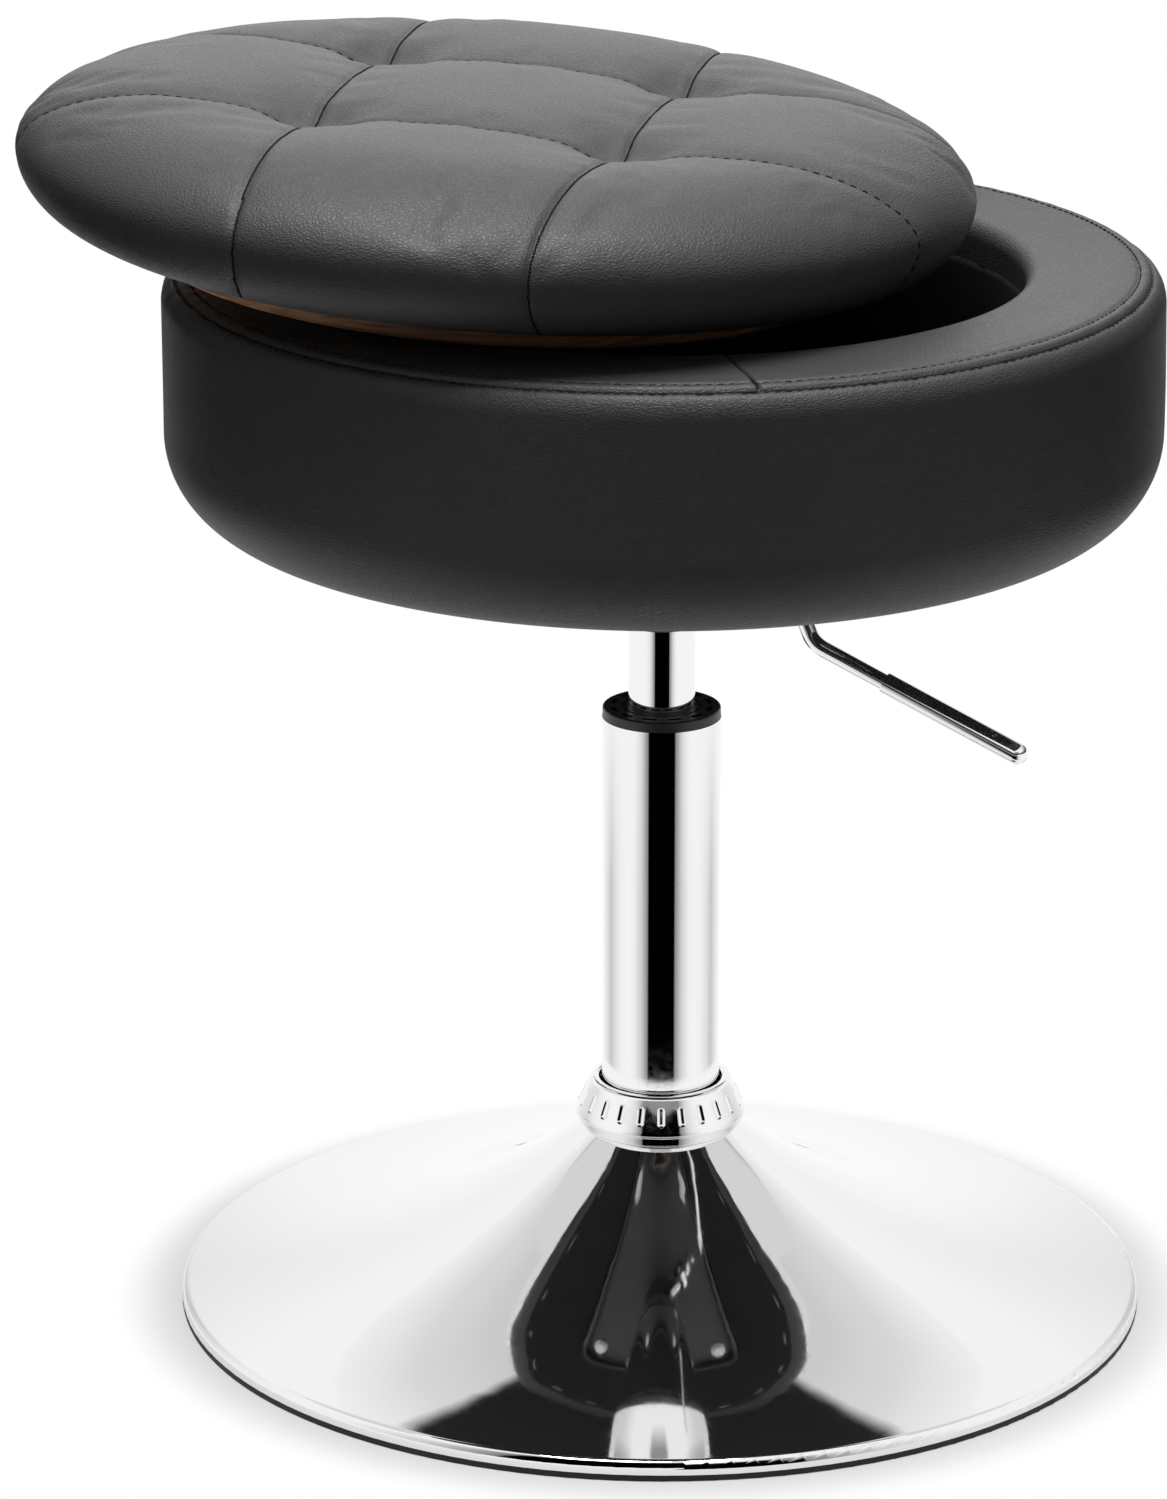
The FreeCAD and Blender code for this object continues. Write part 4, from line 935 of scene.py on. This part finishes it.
def column_tone(turn, height):
    """Black in front and grey at the sides: the painted reflection of the column's dark bar and shaded
    edges.
    """
    around = np.interp(abs(turn), COLUMN_TURNS, COLUMN_GREYS)
    lift = np.interp(abs(turn), (30, 62), (0, 1)) * np.interp(height, (0.09, 0.18), (0, 1))
    return (around + (1.0 - around) * lift) * (1 - painted_fan_stripe(turn, height))


def upper_tone(turn, height):
    """Grey in front and falling off upwards at the back: painted reflection for the collar and the dish.
    """
    fall = np.interp(height, (0.24, 0.33, 0.46), (0.96, 0.76, 0.66))
    front = np.interp(abs(turn), (0, 28, 34, 70, 95), (0.3, 0.3, 1.0, 1.0, fall))
    return front * (1 - painted_fan_stripe(turn, height))


def front_tone(turn, height):
    """Dark up to a level that changes round the room, then pale: painted reflection for the leatherette's
    sheen.
    """
    level = np.interp(abs(turn), FRONT_TURNS, FRONT_LEVELS)
    lift = np.interp(height, (level, level + 0.45), (0, 1))
    haze = 0.02 + 0.3 * np.interp(height, (0.8, 1.1), (0, 1))
    return lift * np.interp(abs(turn), (60, 95), (1.0, 0.72)) + (1 - lift) * haze


def ground_tone(turn, height):
    """One dark grey: the painted reflection of the black in the dish."""
    return GROUND_GREY


card("column_card", upright(CARD_RADIUS, 0.0, CARD_SPLIT, 17), np.linspace(-180, 180, 241), column_tone)
card("upper_card", upright(CARD_RADIUS, CARD_SPLIT, 0.285, 5), np.linspace(-120, 120, 161), upper_tone)
card("back_card", upright(CARD_RADIUS, CARD_SPLIT, 0.5, 27), np.linspace(120, 240, 161), upper_tone)
card("front_card", upright(FAR_RADIUS, 0.0, 3.6, 73), np.linspace(-158, 158, 181), front_tone)
card("front_ground", [(GROUND_FROM, 0.003), (FAR_RADIUS, 0.003)], np.linspace(-140, 140, 81), ground_tone)


def area_lamp(name, width, height, watts, place, lean):
    """A rectangular lamp that the camera doesn't see, leaning back by some degrees."""
    lamp = bpy.data.lights.new(name, "AREA")
    lamp.shape = "RECTANGLE"
    lamp.size = width
    lamp.size_y = height
    lamp.energy = watts
    holder = bpy.data.objects.new(name, lamp)
    holder.location = place
    holder.rotation_euler = (math.radians(lean), 0.0, 0.0)
    holder.visible_camera = False
    scene.collection.objects.link(holder)


area_lamp("softbox", 1.5, 1.5, 115.0, (-0.05, -0.15, 3.2), 0.0)
area_lamp("backlight", 2.6, 1.8, 13.0, (0.0, 2.5, 1.5), -80.0)
